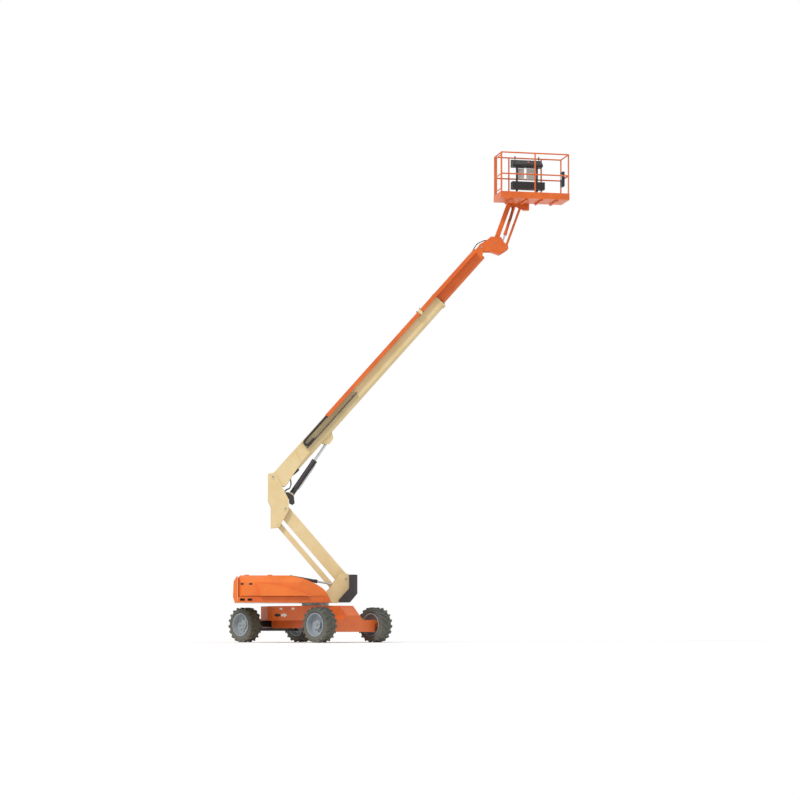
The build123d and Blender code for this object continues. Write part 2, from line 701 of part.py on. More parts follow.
# Hoods: hollow shells over the two side compartments, open below and on the inner side
for label, side in (("hood_near", -1), ("hood_far", 1)):
    outer_form = hood_form(side, 0)
    inner_form = hood_form(side, HOOD_WALL)
    with BuildPart() as hood:
        add(outer_form)
        # Swept recess along the outer side
        with BuildSketch(side_plane(side * HOOD_OUTER + RECESS_DEPTH)) as recess:
            with BuildLine():
                Polyline(RECESS_END, (RECESS_START[0] + HOOD_SHOULDER, RECESS_END[1]), RECESS_START)
                ThreePointArc(RECESS_START, RECESS_BROW, RECESS_END)
            make_face()
        extrude(recess.sketch, amount=2 * RECESS_DEPTH, mode=Mode.SUBTRACT)
        add(inner_form, mode=Mode.SUBTRACT)
        # Hinge leaves, each with an eye round its pin
        for x in HINGE_STATIONS:
            leaf_y = sorted((side * HOOD_HINGE[0], side * (HOOD_INNER + LEAF_FOOT)))
            foot_y = sorted((side * (HOOD_INNER + LEAF_THICK / 2), side * (HOOD_INNER + LEAF_FOOT)))
            leaf_x = (x - HINGE_HALF, x + HINGE_HALF)
            for z_low, z_high, y_pair in (
                (HOOD_TOP - HOOD_WALL, HOOD_HINGE[1], foot_y),
                (HOOD_HINGE[1] - LEAF_THICK / 2, HOOD_HINGE[1] + LEAF_THICK / 2, leaf_y),
            ):
                plate(
                    [(leaf_x[0], z_low), (leaf_x[1], z_low), (leaf_x[1], z_high), (leaf_x[0], z_high)],
                    *y_pair,
                )
            eye_plane = Plane(
                origin=boom_point(x - HINGE_HALF, side * HOOD_HINGE[0], HOOD_HINGE[1]),
                x_dir=(0, 0, 1),
                z_dir=boom_direction(1, 0, 0),
            )
            with BuildSketch(eye_plane):
                Circle(HINGE_EYE)
            extrude(amount=2 * HINGE_HALF)
            with BuildSketch(eye_plane):
                Circle(HINGE_PIN + RUN)
            extrude(amount=2 * HINGE_HALF, mode=Mode.SUBTRACT)
    save(hood, label)

# Tower boom: box with a cross tube at each pin, and the lugs of the tower cylinder at its foot
with BuildPart() as tower_boom:
    plate(
        [
            (40, TOWER_UP),
            (TOWER_LENGTH + 40, TOWER_UP),
            (TOWER_LENGTH + 95, -30),
            (TOWER_LENGTH + 60, 90),
            (TOWER_LENGTH - 120, TOWER_DOWN),
            (180, TOWER_DOWN),
            (-60, 60),
        ],
        -TOWER_HALF,
        TOWER_HALF,
        TOWER_FOOT,
        TOWER_ANGLE,
    )
    disc(TOWER_FOOT, 75, -TOWER_PLATE_Y + SLIP, TOWER_PLATE_Y - SLIP)
    disc(TOWER_TOP, 75, -UPRIGHT_Y + SLIP, UPRIGHT_Y - SLIP)
    lug_u, lug_v = local(TOWER_FOOT, TOWER_ANGLE, TOWER_RAM_LUG)
    reach = hypot(lug_u, lug_v)
    lug_angle = TOWER_ANGLE + degrees(atan2(lug_v, lug_u))
    for y in (-TOWER_RAM_Y - RAM_EYE_HALF - SLIP - 16, -TOWER_RAM_Y + RAM_EYE_HALF + SLIP):
        plate([(0, -70), (reach, -40), (reach, 40), (0, 70)], y, y + 16, TOWER_FOOT, lug_angle)
        disc(TOWER_RAM_LUG, 40, y, y + 16)
    disc(TOWER_FOOT, TOWER_PIN + RUN, -PIN_HALF, PIN_HALF, mode=Mode.SUBTRACT)
    disc(TOWER_TOP, TOWER_PIN + RUN, -PIN_HALF, PIN_HALF, mode=Mode.SUBTRACT)
save(tower_boom, "tower_boom")

# Link parallel to the tower boom
with BuildPart() as tower_link:
    plate(
        [(0, -LINK_UP), (TOWER_LENGTH, -LINK_UP), (TOWER_LENGTH, LINK_DOWN), (0, LINK_DOWN)],
        -LINK_HALF,
        LINK_HALF,
        LINK_FOOT,
        TOWER_ANGLE,
    )
    disc(LINK_FOOT, 58, -LINK_HALF, LINK_HALF)
    disc(LINK_TOP, 58, -UPRIGHT_Y + SLIP, UPRIGHT_Y - SLIP)
    disc(LINK_FOOT, LINK_PIN + RUN, -PIN_HALF, PIN_HALF, mode=Mode.SUBTRACT)
    disc(LINK_TOP, LINK_PIN + RUN, -PIN_HALF, PIN_HALF, mode=Mode.SUBTRACT)
save(tower_link, "tower_link")


def tube_plane(origin, angle, u, y):
    """Plane across a line of the boom's frame: local x across the boom, local y above the line."""
    x, z = along(origin, angle, u, 0)
    z_dir = boom_direction(cos(radians(angle)), 0, sin(radians(angle)))
    return Plane(origin=boom_point(x, y, z), x_dir=boom_direction(0, 1, 0), z_dir=z_dir)


def round_bar(origin, angle, y, radius, start, end, mode=Mode.ADD):
    with BuildSketch(tube_plane(origin, angle, start, y)) as circle:
        Circle(radius)
    extrude(circle.sketch, amount=end - start, mode=mode)


def barrel(foot, angle, y, size):
    """A cylinder barrel from its foot eye: `size` names its radii and lengths."""
    disc(foot, size["eye"], y - size["eye_half"], y + size["eye_half"])
    round_bar(foot, angle, y, size["radius"], size["eye"] * 0.6, size["length"])
    round_bar(foot, angle, y, size["radius"] + 6, size["length"] - 90, size["length"])
    round_bar(foot, angle, y, size["rod"] + RUN, size["bore"], size["length"] + 1, mode=Mode.SUBTRACT)
    disc(foot, size["pin"] + RUN, y - size["eye_half"] - 1, y + size["eye_half"] + 1, mode=Mode.SUBTRACT)


def rod(foot, angle, y, size, reach):
    """The rod of a cylinder, from inside its barrel to the far eye at `reach`."""
    round_bar(foot, angle, y, size["rod"], size["rod_start"], reach)
    disc(along(foot, angle, reach, 0), size["rod_eye"], y - size["eye_half"], y + size["eye_half"])


tower_ram_angle = angle_of(TOWER_RAM_FOOT, TOWER_RAM_LUG)
tower_ram_reach = hypot(TOWER_RAM_LUG[0] - TOWER_RAM_FOOT[0], TOWER_RAM_LUG[1] - TOWER_RAM_FOOT[1])
with BuildPart() as tower_barrel:
    barrel(TOWER_RAM_FOOT, tower_ram_angle, -TOWER_RAM_Y, TOWER_RAM)
save(tower_barrel, "tower_barrel")
with BuildPart() as tower_rod:
    rod(TOWER_RAM_FOOT, tower_ram_angle, -TOWER_RAM_Y, TOWER_RAM, tower_ram_reach)
save(tower_rod, "tower_rod")

# Upright: two side plates on the tower's top pins, carrying the main boom and the lift cylinder
upright_outline = [
    (-1229, 4361),
    (-1086, 4392),
    (-1000, 4330),
    (-873, 4044),
    (-699, 3714),
    (-691, 3431),
    (-940, 2984),
    (-1156, 2961),
    (-1156, 3514),
    (-1229, 3681),
]
with BuildPart() as upright:
    for side in SIDES:
        outer = sorted((side * UPRIGHT_Y, side * (UPRIGHT_Y + UPRIGHT_PLATE)))
        plate(upright_outline, *outer)
        inner = sorted((side * LIFT_LUG_Y, side * (LIFT_LUG_Y + UPRIGHT_PLATE)))
        plate([(-900, 3640), (-640, 3740), (-642, 3890), (-900, 3860)], *inner)
        disc(LIFT_FOOT, 76, *inner)
    plate([(-920, 3630), (-890, 3630), (-890, 3870), (-920, 3870)], -UPRIGHT_Y, UPRIGHT_Y)
    plate([(-1229, 3720), (-1211, 3720), (-1211, 4340), (-1229, 4340)], -UPRIGHT_Y, UPRIGHT_Y)
    pin_end = UPRIGHT_Y + UPRIGHT_PLATE + 12
    for pin, radius in ((TOWER_TOP, TOWER_PIN), (LINK_TOP, LINK_PIN), (MAIN_PIVOT, TOWER_PIN)):
        disc(pin, radius, -pin_end, pin_end)
    for pin, radius in ((TOWER_TOP, TOWER_PIN), (LINK_TOP, LINK_PIN), (MAIN_PIVOT, TOWER_PIN)):
        for side in SIDES:
            outer_face = side * (UPRIGHT_Y + UPRIGHT_PLATE)
            disc(pin, radius + BOSS, *sorted((outer_face, outer_face + side * BOSS_THICK)))
save(upright, "upright")

with BuildPart() as hose_bundle:
    plate([(-880, 3890), (-700, 3890), (-560, 3790), (-540, 3600), (-600, 3560), (-680, 3600), (-690, 3730), (-760, 3780), (-880, 3780)],
          -UPRIGHT_Y + 5, -LIFT_LUG_Y - UPRIGHT_PLATE)
save(hose_bundle, "hose_bundle")


def boom_section(half, top, bottom, bevel, inset=0):
    """Section of a boom: a box with its two lower corners cut back."""
    Polygon(
        (-half + inset, top - inset),
        (half - inset, top - inset),
        (half - inset, bottom + bevel),
        (half - bevel, bottom + inset),
        (-half + bevel, bottom + inset),
        (-half + inset, bottom + bevel),
        align=None,
    )


# Main boom: hollow box with base plates, lift lugs, front collar and the guide of the push tube
with BuildPart() as main_boom:
    with BuildSketch(tube_plane(MAIN_PIVOT, MAIN_ANGLE, MAIN_START, 0)):
        boom_section(MAIN_HALF, MAIN_TOP, MAIN_BOTTOM, MAIN_BEVEL)
    extrude(amount=MAIN_END - MAIN_START)
    with BuildSketch(tube_plane(MAIN_PIVOT, MAIN_ANGLE, MAIN_END - COLLAR_LENGTH, 0)):
        boom_section(MAIN_HALF + COLLAR, MAIN_TOP + COLLAR, MAIN_BOTTOM - COLLAR, MAIN_BEVEL)
    extrude(amount=COLLAR_LENGTH)
    with BuildSketch(tube_plane(MAIN_PIVOT, MAIN_ANGLE, MAIN_START, 0)):
        boom_section(MAIN_HALF, MAIN_TOP, MAIN_BOTTOM, MAIN_BEVEL, MAIN_WALL)
    extrude(amount=MAIN_END - MAIN_START - COLLAR_LENGTH, mode=Mode.SUBTRACT)
    with BuildSketch(tube_plane(MAIN_PIVOT, MAIN_ANGLE, MAIN_END - COLLAR_LENGTH, 0)):
        boom_section(FLY_HALF + RUN, FLY_TOP + RUN, FLY_BOTTOM - RUN, FLY_BEVEL)
    extrude(amount=COLLAR_LENGTH, mode=Mode.SUBTRACT)
    for side in SIDES:
        base = sorted((side * MAIN_HALF, side * (UPRIGHT_Y - SLIP)))
        plate([(-60, 55), (900, 55), (760, -300), (160, -390), (20, -390), (-20, -330), (-75, -20)],
              *base, MAIN_PIVOT, MAIN_ANGLE)
        lug = sorted((side * LIFT_LUG_Y, side * (LIFT_LUG_Y + 20)))
        plate([(1500, MAIN_BOTTOM), (1560, -470), (1660, -520), (1800, -500), (1900, MAIN_BOTTOM)],
              *lug, MAIN_PIVOT, MAIN_ANGLE)
        stiffener = sorted((side * MAIN_HALF, side * (MAIN_HALF + STIFFENER)))
        low, high = MAIN_BOTTOM + MAIN_BEVEL, MAIN_TOP - STIFFENER
        plate(
            [
                (STIFFENER_U, low),
                (MAIN_END, low),
                (MAIN_END, high),
                (STIFFENER_U + 120, high),
                (STIFFENER_U, high - 120),
            ],
            *stiffener,
            MAIN_PIVOT,
            MAIN_ANGLE,
        )
        bush = sorted((side * MAIN_HALF, side * (UPRIGHT_Y - RUN)))
        disc(MAIN_PIVOT, TOWER_PIN + BOSS, *bush)
    disc(LIFT_EYE, LIFT_RAM["pin"], -LIFT_LUG_Y - 32, LIFT_LUG_Y + 32)
    disc(MAIN_PIVOT, TOWER_PIN + RUN, -PIN_HALF, PIN_HALF, mode=Mode.SUBTRACT)
    guide = (PUSH_Y - GUIDE_WALL, PUSH_Y + PUSH_SIZE + GUIDE_WALL)
    plate(corners(*GUIDE_U, PUSH_V - GUIDE_WALL, PUSH_V + PUSH_SIZE + GUIDE_WALL),
          -guide[1], -MAIN_HALF, MAIN_PIVOT, MAIN_ANGLE)
    plate(corners(GUIDE_U[0] - 10, GUIDE_U[1] + 10, PUSH_V - RUN, PUSH_V + PUSH_SIZE + RUN),
          -PUSH_Y - PUSH_SIZE - RUN, -PUSH_Y + RUN, MAIN_PIVOT, MAIN_ANGLE, mode=Mode.SUBTRACT)
save(main_boom, "main_boom")

# Fly boom: slides in the main boom, with wear pads at its tail and pivot lugs at its tip
with BuildPart() as fly_boom:
    with BuildSketch(tube_plane(MAIN_PIVOT, MAIN_ANGLE, FLY_START, 0)):
        boom_section(FLY_HALF, FLY_TOP, FLY_BOTTOM, FLY_BEVEL)
    extrude(amount=FLY_END - FLY_START)
    with BuildSketch(tube_plane(MAIN_PIVOT, MAIN_ANGLE, FLY_START, 0)):
        boom_section(MAIN_HALF - RUN, MAIN_TOP - RUN, MAIN_BOTTOM + RUN, MAIN_BEVEL, MAIN_WALL)
    extrude(amount=PAD_LENGTH)
    with BuildSketch(tube_plane(MAIN_PIVOT, MAIN_ANGLE, FLY_START, 0)):
        boom_section(FLY_HALF, FLY_TOP, FLY_BOTTOM, FLY_BEVEL, FLY_WALL)
    extrude(amount=FLY_END - FLY_START - FLY_WALL, mode=Mode.SUBTRACT)
    for side in SIDES:
        lug = sorted((side * (TIP_Y + TIP_PLATE + SLIP), side * FLY_HALF))
        lug_outline = [
            (FLY_END - 60, FLY_TOP),
            (TIP_U, TIP_V + 80),
            (TIP_U + 70, TIP_V + 30),
            (TIP_U + 70, TIP_V - 40),
            (TIP_U - 10, TIP_V - 90),
            (FLY_END - 60, FLY_BOTTOM + 60),
        ]
        plate(lug_outline, *lug, MAIN_PIVOT, MAIN_ANGLE)
    disc(TIP_PIVOT, TIP_PIN, -FLY_HALF - 8, FLY_HALF + 8)
save(fly_boom, "fly_boom")

# Push tube on the near side of the boom, carried from the fly boom's tip
with BuildPart() as push_tube:
    with BuildSketch(tube_plane(MAIN_PIVOT, MAIN_ANGLE, PUSH_START, 0)):
        with Locations((-PUSH_Y - PUSH_SIZE / 2, PUSH_V + PUSH_SIZE / 2)):
            Rectangle(PUSH_SIZE, PUSH_SIZE)
            Rectangle(PUSH_SIZE - 2 * PUSH_WALL, PUSH_SIZE - 2 * PUSH_WALL, mode=Mode.SUBTRACT)
    extrude(amount=FLY_END - 40 - PUSH_START)
    plate(corners(FLY_END - 200, FLY_END - 60, PUSH_V, FLY_TOP - 10),
          -PUSH_Y, -FLY_HALF, MAIN_PIVOT, MAIN_ANGLE)
save(push_tube, "push_tube")

# Hose carrier: its lower run lies on the main boom, its bend runs at half the fly boom's travel
with BuildPart() as chain_bed:
    bed_low = CHAIN_LOW - CHAIN_HALF
    plate(corners(*CHAIN_BED, bed_low, bed_low + BED_THICK),
          -PUSH_Y - PUSH_SIZE, -MAIN_HALF, MAIN_PIVOT, MAIN_ANGLE)
save(chain_bed, "chain_bed")
with BuildPart() as chain_bend:
    chain_high = PUSH_V + PUSH_SIZE / 2
    chain_low = CHAIN_LOW + 20
    bend_radius = (chain_high - chain_low) / 2
    bend_centre = along(MAIN_PIVOT, MAIN_ANGLE, CHAIN_BEND_U, (chain_high + chain_low) / 2)
    with BuildSketch(side_plane(-PUSH_Y - 15, bend_centre, MAIN_ANGLE)):
        Circle(bend_radius + CHAIN_HALF)
        with Locations((bend_radius + CHAIN_HALF, 0)):
            Rectangle(2 * (bend_radius + CHAIN_HALF), 2 * (bend_radius + CHAIN_HALF), mode=Mode.SUBTRACT)
        with Locations((CHAIN_UPPER / 2, bend_radius)):
            Rectangle(CHAIN_UPPER, 2 * CHAIN_HALF)
        with Locations((CHAIN_LOWER / 2, -bend_radius)):
            Rectangle(CHAIN_LOWER, 2 * CHAIN_HALF)
        Circle(bend_radius - CHAIN_HALF, mode=Mode.SUBTRACT)
    extrude(amount=PUSH_SIZE - 30)
    # Gaps between the links of the upper run
    for k in range(int(CHAIN_UPPER / LINK_PITCH) - 1):
        groove_u = CHAIN_BEND_U + (k + 1) * LINK_PITCH
        high = chain_high + CHAIN_HALF
        plate(
            corners(groove_u, groove_u + LINK_GROOVE, high - LINK_GROOVE, high + 1),
            -PUSH_Y - PUSH_SIZE,
            -PUSH_Y,
            MAIN_PIVOT,
            MAIN_ANGLE,
            mode=Mode.SUBTRACT,
        )
save(chain_bend, "chain_bend")

# Lift cylinder of the main boom
lift_angle = angle_of(LIFT_FOOT, LIFT_EYE)
lift_reach = hypot(LIFT_EYE[0] - LIFT_FOOT[0], LIFT_EYE[1] - LIFT_FOOT[1])
with BuildPart() as lift_barrel:
    barrel(LIFT_FOOT, lift_angle, 0, LIFT_RAM)
    disc(LIFT_FOOT, LIFT_RAM["pin"] + 2, -LIFT_RAM["eye_half"], LIFT_RAM["eye_half"])
save(lift_barrel, "lift_barrel")
with BuildPart() as lift_rod:
    rod(LIFT_FOOT, lift_angle, 0, LIFT_RAM, lift_reach)
    disc(LIFT_EYE, LIFT_RAM["pin"] + RUN, -PIN_HALF, PIN_HALF, mode=Mode.SUBTRACT)
save(lift_rod, "lift_rod")

# Tip bracket: two plates on the fly boom's tip pin, kept level, carrying the jib
tip_outline = [
    (4240, 10290),
    (4270, 10370),
    (4473, 10494),
    (4577, 10584),
    (4844, 10571),
    (4901, 10455),
    (5030, 10340),
    (5030, 10260),
    (4800, 10110),
    (4560, 10190),
    (4400, 10190),
    (4270, 10215),
]
with BuildPart() as tip_bracket:
    for side in SIDES:
        tip = sorted((side * TIP_Y, side * (TIP_Y + TIP_PLATE)))
        plate(tip_outline, *tip)
        face = side * (TIP_Y + TIP_PLATE)
        disc(JIB_RAM_FOOT, JIB_RAM["pin"] + 12, *sorted((face, face + side * BOSS_THICK)))
    plate([(4560, 10190), (4800, 10110), (4815, 10122), (4570, 10205)], -TIP_Y, TIP_Y)
    plate([(4430, 10440), (4577, 10560), (4570, 10575), (4420, 10455)], -TIP_Y, TIP_Y)
    disc(JIB_FOOT, JIB_PIN, -TIP_Y - TIP_PLATE - 8, TIP_Y + TIP_PLATE + 8)
    disc(JIB_LINK_FOOT, JIB_PIN, -TIP_Y - TIP_PLATE - 8, TIP_Y + TIP_PLATE + 8)
    disc(TIP_PIVOT, TIP_PIN + 25, -TIP_Y, TIP_Y)
    disc(TIP_PIVOT, TIP_PIN + RUN, -PIN_HALF, PIN_HALF, mode=Mode.SUBTRACT)
save(tip_bracket, "tip_bracket")

# Jib arm, its parallel link and its cylinder
with BuildPart() as jib_arm:
    plate([(0, -JIB_DEPTH), (JIB_LENGTH, -JIB_DEPTH), (JIB_LENGTH, JIB_DEPTH), (0, JIB_DEPTH)],
          -JIB_HALF, JIB_HALF, JIB_FOOT, JIB_ANGLE)
    disc(JIB_FOOT, JIB_DEPTH, -TIP_Y + SLIP, TIP_Y - SLIP)
    disc(JIB_TOP, JIB_DEPTH, -TIP_Y + SLIP, TIP_Y - SLIP)
    for side in SIDES:
        lug = sorted((side * JIB_LUG_Y, side * (JIB_LUG_Y + 9)))
        eye_u, eye_v = JIB_RAM_UV
        plate([(eye_u - 90, -20), (eye_u + 50, -20), (eye_u + 40, eye_v), (eye_u - 40, eye_v)],
              *lug, JIB_FOOT, JIB_ANGLE)
        disc(JIB_RAM_EYE, 40, *lug)
    disc(JIB_RAM_EYE, JIB_RAM["pin"], -JIB_LUG_Y - 9, JIB_LUG_Y + 9)
    disc(JIB_FOOT, JIB_PIN + RUN, -PIN_HALF, PIN_HALF, mode=Mode.SUBTRACT)
    disc(JIB_TOP, JIB_PIN + RUN, -PIN_HALF, PIN_HALF, mode=Mode.SUBTRACT)
save(jib_arm, "jib_arm")

with BuildPart() as jib_link:
    for side in SIDES:
        bar = sorted((side * JIB_BAR_Y, side * (TIP_Y - SLIP)))
        plate([(0, -27), (JIB_LENGTH, -27), (JIB_LENGTH, 27), (0, 27)], *bar, JIB_LINK_FOOT, JIB_ANGLE)
    for pin in (JIB_LINK_FOOT, JIB_LINK_TOP):
        disc(pin, 40, -TIP_Y + SLIP, TIP_Y - SLIP)
        disc(pin, JIB_PIN + RUN, -PIN_HALF, PIN_HALF, mode=Mode.SUBTRACT)
save(jib_link, "jib_link")

jib_ram_angle = angle_of(JIB_RAM_EYE, JIB_RAM_FOOT)
jib_ram_reach = hypot(JIB_RAM_FOOT[0] - JIB_RAM_EYE[0], JIB_RAM_FOOT[1] - JIB_RAM_EYE[1])
with BuildPart() as jib_barrel:
    barrel(JIB_RAM_EYE, jib_ram_angle, 0, JIB_RAM)
save(jib_barrel, "jib_barrel")
with BuildPart() as jib_rod:
    rod(JIB_RAM_EYE, jib_ram_angle, 0, JIB_RAM, jib_ram_reach)
    disc(JIB_RAM_FOOT, JIB_RAM["pin"], -TIP_Y + SLIP, TIP_Y - SLIP)
save(jib_rod, "jib_rod")

# Jib head: plates on the jib's top pins and the housing of the platform rotator
head_outline = [
    (5020, 11480),
    (5040, 11590),
    (5130, 11600),
    (ROTATOR_X, 11560),
    (ROTATOR_X, 11330),
    (5350, 11325),
    (5290, 11380),
]
with BuildPart() as jib_head:
    for side in SIDES:
        head = sorted((side * TIP_Y, side * (TIP_Y + TIP_PLATE)))
        plate(head_outline, *head)
    for pin in (JIB_TOP, JIB_LINK_TOP):
        disc(pin, JIB_PIN, -TIP_Y - TIP_PLATE - 8, TIP_Y + TIP_PLATE + 8)
    with BuildSketch(Plane.XY.offset(ROTATOR_Z[0])):
        with Locations(boom_point(ROTATOR_X, 0, 0)[:2]):
            Circle(ROTATOR_RADIUS)
    extrude(amount=ROTATOR_Z[1] - ROTATOR_Z[0])
save(jib_head, "jib_head")


def platform_plane(x, y, z):
    """Level plane in the platform's frame: x along it, y from the rotator's axis, z above its floor."""
    turn = radians(PLATFORM_ANGLE)
    bx = ROTATOR_X + x * cos(turn) - y * sin(turn)
    by = x * sin(turn) + y * cos(turn)
    x_dir = boom_direction(cos(turn), sin(turn), 0)
    return Plane(origin=boom_point(bx, by, PLATFORM_Z + z), x_dir=x_dir, z_dir=(0, 0, 1))


def level_block(x_low, x_high, y_low, y_high, z_low, z_high, mode=Mode.ADD):
    with BuildSketch(platform_plane((x_low + x_high) / 2, (y_low + y_high) / 2, z_low)) as base:
        Rectangle(x_high - x_low, y_high - y_low)
    extrude(base.sketch, amount=z_high - z_low, mode=mode)


def rail(start, end, radius, mode=Mode.ADD):
    """A straight tube between two points of the platform's frame."""
    a, b = platform_plane(*start).origin, platform_plane(*end).origin
    with BuildSketch(Plane(origin=a, z_dir=b - a)) as circle:
        Circle(radius)
    extrude(circle.sketch, amount=(b - a).length, mode=mode)


half_length = PLATFORM_LENGTH / 2
front_y = PLATFORM_BACK - PLATFORM_DEPTH
rail_in = RAIL_RADIUS + TOE_THICK + 1
x_end = half_length - rail_in
y_back = PLATFORM_BACK - rail_in
y_front = front_y + rail_in
with BuildPart() as platform_floor:
    level_block(-half_length, half_length, front_y, PLATFORM_BACK, 0, FLOOR_THICK)
    level_block(-half_length, half_length, front_y, PLATFORM_BACK, FLOOR_THICK, TOE_HEIGHT)
    toe_x = half_length - TOE_THICK
    toe_y = (front_y + TOE_THICK, PLATFORM_BACK - TOE_THICK)
    level_block(-toe_x, toe_x, *toe_y, FLOOR_THICK, TOE_HEIGHT, mode=Mode.SUBTRACT)
    # Deck sheet inside the line of the posts
    sheet_in = RAIL_RADIUS + 3
    sheet_x = x_end - sheet_in
    level_block(
        -sheet_x, sheet_x, y_front + sheet_in, y_back - sheet_in, FLOOR_THICK, FLOOR_THICK + DECK_SHEET
    )
    # Beams under the floor
    for x in FLOOR_BEAMS:
        beam = (x - BEAM_HALF_WIDTH, x + BEAM_HALF_WIDTH)
        level_block(*beam, front_y + 60, PLATFORM_BACK - 20, -BEAM_DEPTH, 0)
    # Cap of the rotator and the arm that carries the floor
    cap_low = ROTATOR_Z[1] + RUN - PLATFORM_Z
    with BuildSketch(platform_plane(0, 0, cap_low)):
        Circle(ROTATOR_RADIUS)
    extrude(amount=CAP_THICK)
    level_block(-CAP_HALF, CAP_HALF, PLATFORM_BACK, 0, cap_low, cap_low + CAP_THICK)
    level_block(-CAP_HALF, CAP_HALF, PLATFORM_BACK, PLATFORM_BACK + 12, 0, cap_low + CAP_THICK)
save(platform_floor, "platform_floor")

latch_y = y_back - LATCH_SET
posts = (
    (-x_end, y_back),
    (-x_end, latch_y),
    (-x_end, y_front),
    (x_end, y_back),
    (x_end, y_front),
    (0, y_front),
    (-BACK_POST[0], y_back),
    (BACK_POST[1], y_back),
)
with BuildPart() as platform_rails:
    for x, y in posts:
        rail((x, y, FLOOR_THICK), (x, y, RAIL_TOP), RAIL_RADIUS)
    rail((-x_end, latch_y, RAIL_MID), (-x_end, y_back, RAIL_MID), LINE_TUBE)
    for z in (RAIL_MID, RAIL_TOP):
        rail((-x_end, y_front, z), (x_end, y_front, z), LINE_TUBE)
        rail((-x_end, y_back, z), (x_end, y_back, z), LINE_TUBE)
        rail((x_end, y_front, z), (x_end, y_back, z), LINE_TUBE)
    rail((-x_end, y_front, RAIL_TOP), (-x_end, y_back, RAIL_TOP), LINE_TUBE)
    # Seats of the gate's hinge post, each a lug from the corner post with a pin
    gate_in = RAIL_RADIUS + GATE_GAP + GATE_TUBE
    gate_y = (y_front + gate_in, latch_y - gate_in)
    gate_z = (TOE_HEIGHT + 60, RAIL_MID, RAIL_TOP - RAIL_RADIUS - GATE_GAP - GATE_TUBE)
    for end_z, way in ((gate_z[0], -1), (gate_z[2], 1)):
        lug_z = sorted((end_z + way * RUN, end_z + way * 12))
        level_block(-x_end - GATE_TUBE, -x_end + GATE_TUBE, y_front, gate_y[0] + GATE_TUBE, *lug_z)
        pin_z = sorted((end_z - way * 30, end_z + way * 12))
        rail((-x_end, gate_y[0], pin_z[0]), (-x_end, gate_y[0], pin_z[1]), GATE_PIN)
save(platform_rails, "platform_rails")

# Gate in the left end, below the top rail
with BuildPart() as gate:
    gate_x = -x_end
    for y in gate_y:
        rail((gate_x, y, gate_z[0]), (gate_x, y, gate_z[2]), GATE_TUBE)
    for z in (gate_z[0] + GATE_BAR + 4, gate_z[1], gate_z[2] - GATE_BAR - 4):
        rail((gate_x, gate_y[0], z), (gate_x, gate_y[1], z), GATE_BAR)
    for end_z, way in ((gate_z[0], 1), (gate_z[2], -1)):
        bore = sorted((end_z - way, end_z + way * 31))
        bore_ends = ((gate_x, gate_y[0], bore[0]), (gate_x, gate_y[0], bore[1]))
        rail(*bore_ends, GATE_PIN + RUN, mode=Mode.SUBTRACT)
save(gate, "gate")

# Control console on the back rail
with BuildPart() as control_console:
    console_y = y_back - RAIL_RADIUS
    console_plane = Plane(
        origin=platform_plane(CONSOLE_X[0], console_y, 0).origin,
        x_dir=platform_plane(0, 1, 0).origin - platform_plane(0, 0, 0).origin,
        z_dir=platform_plane(1, 0, 0).origin - platform_plane(0, 0, 0).origin,
    )
    with BuildSketch(console_plane):
        Polygon((0, 910), (0, 1110), (-70, 1110), (-260, 975), (-260, 925), (-235, 910), align=None)
    extrude(amount=CONSOLE_X[1] - CONSOLE_X[0])
    level_block(-330, -290, console_y - 60, console_y, 300, 910)
    level_block(210, 250, console_y - 60, console_y, 300, 910)
    level_block(-470, 400, console_y - 200, console_y, 340, 530)
save(control_console, "control_console")
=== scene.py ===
"""Looks of a self-propelled boom lift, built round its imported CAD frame. Metres, in the row frame."""

import json
import math

import bmesh
import bpy
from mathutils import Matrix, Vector


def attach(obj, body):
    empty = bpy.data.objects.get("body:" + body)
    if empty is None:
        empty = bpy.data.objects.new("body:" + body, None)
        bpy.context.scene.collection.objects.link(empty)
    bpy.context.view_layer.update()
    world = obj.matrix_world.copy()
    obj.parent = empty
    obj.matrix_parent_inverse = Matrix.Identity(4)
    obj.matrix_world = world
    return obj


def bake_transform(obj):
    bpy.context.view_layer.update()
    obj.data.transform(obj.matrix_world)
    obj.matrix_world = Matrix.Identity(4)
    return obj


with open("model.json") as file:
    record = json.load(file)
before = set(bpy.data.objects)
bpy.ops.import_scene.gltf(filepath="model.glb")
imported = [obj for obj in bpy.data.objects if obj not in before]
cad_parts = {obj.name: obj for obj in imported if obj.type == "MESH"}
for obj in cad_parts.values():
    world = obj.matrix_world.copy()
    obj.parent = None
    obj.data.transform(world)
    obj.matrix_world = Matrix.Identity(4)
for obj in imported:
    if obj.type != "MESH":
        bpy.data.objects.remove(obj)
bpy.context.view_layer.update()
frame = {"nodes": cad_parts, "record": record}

JOINTS = {joint["name"]: joint for joint in frame["record"]["behaviour"]["joints"]}

# Camera, from the photograph: distance and focal length give 38.5 pixels a metre at the slewing axis
IMAGE_WIDTH = 800
CAMERA_AZIMUTH = 44
CAMERA_DISTANCE = 61.04
CAMERA_HEIGHT = 0.35
FOCAL_PIXELS = 2350
AXIS_PIXEL_X = 315.3
HORIZON_PIXEL_Y = 629
SENSOR = 36
FAR_CLIP = 500

# Directions: the boom's frame is turned about Z, and the boom line rises in it
BOOM_YAW = 48
PLATFORM_YAW = BOOM_YAW + 8
BOOM_X = Vector((math.cos(math.radians(BOOM_YAW)), math.sin(math.radians(BOOM_YAW)), 0))
BOOM_Y = Vector((-BOOM_X.y, BOOM_X.x, 0))
UP = Vector((0, 0, 1))
BOOM_LINE = Vector(JOINTS["telescope"]["axis"]).normalized()
BOOM_UP = BOOM_LINE.cross(BOOM_Y)
PLATFORM_X = Vector((math.cos(math.radians(PLATFORM_YAW)), math.sin(math.radians(PLATFORM_YAW)), 0))
PLATFORM_Y = Vector((-PLATFORM_X.y, PLATFORM_X.x, 0))

# Sizes taken over from the CAD model
HOOD_FACE = 1.05
FLOOR_Z = 11.43
PLATFORM_BACK = -0.19
PLATFORM_DEPTH = 0.76


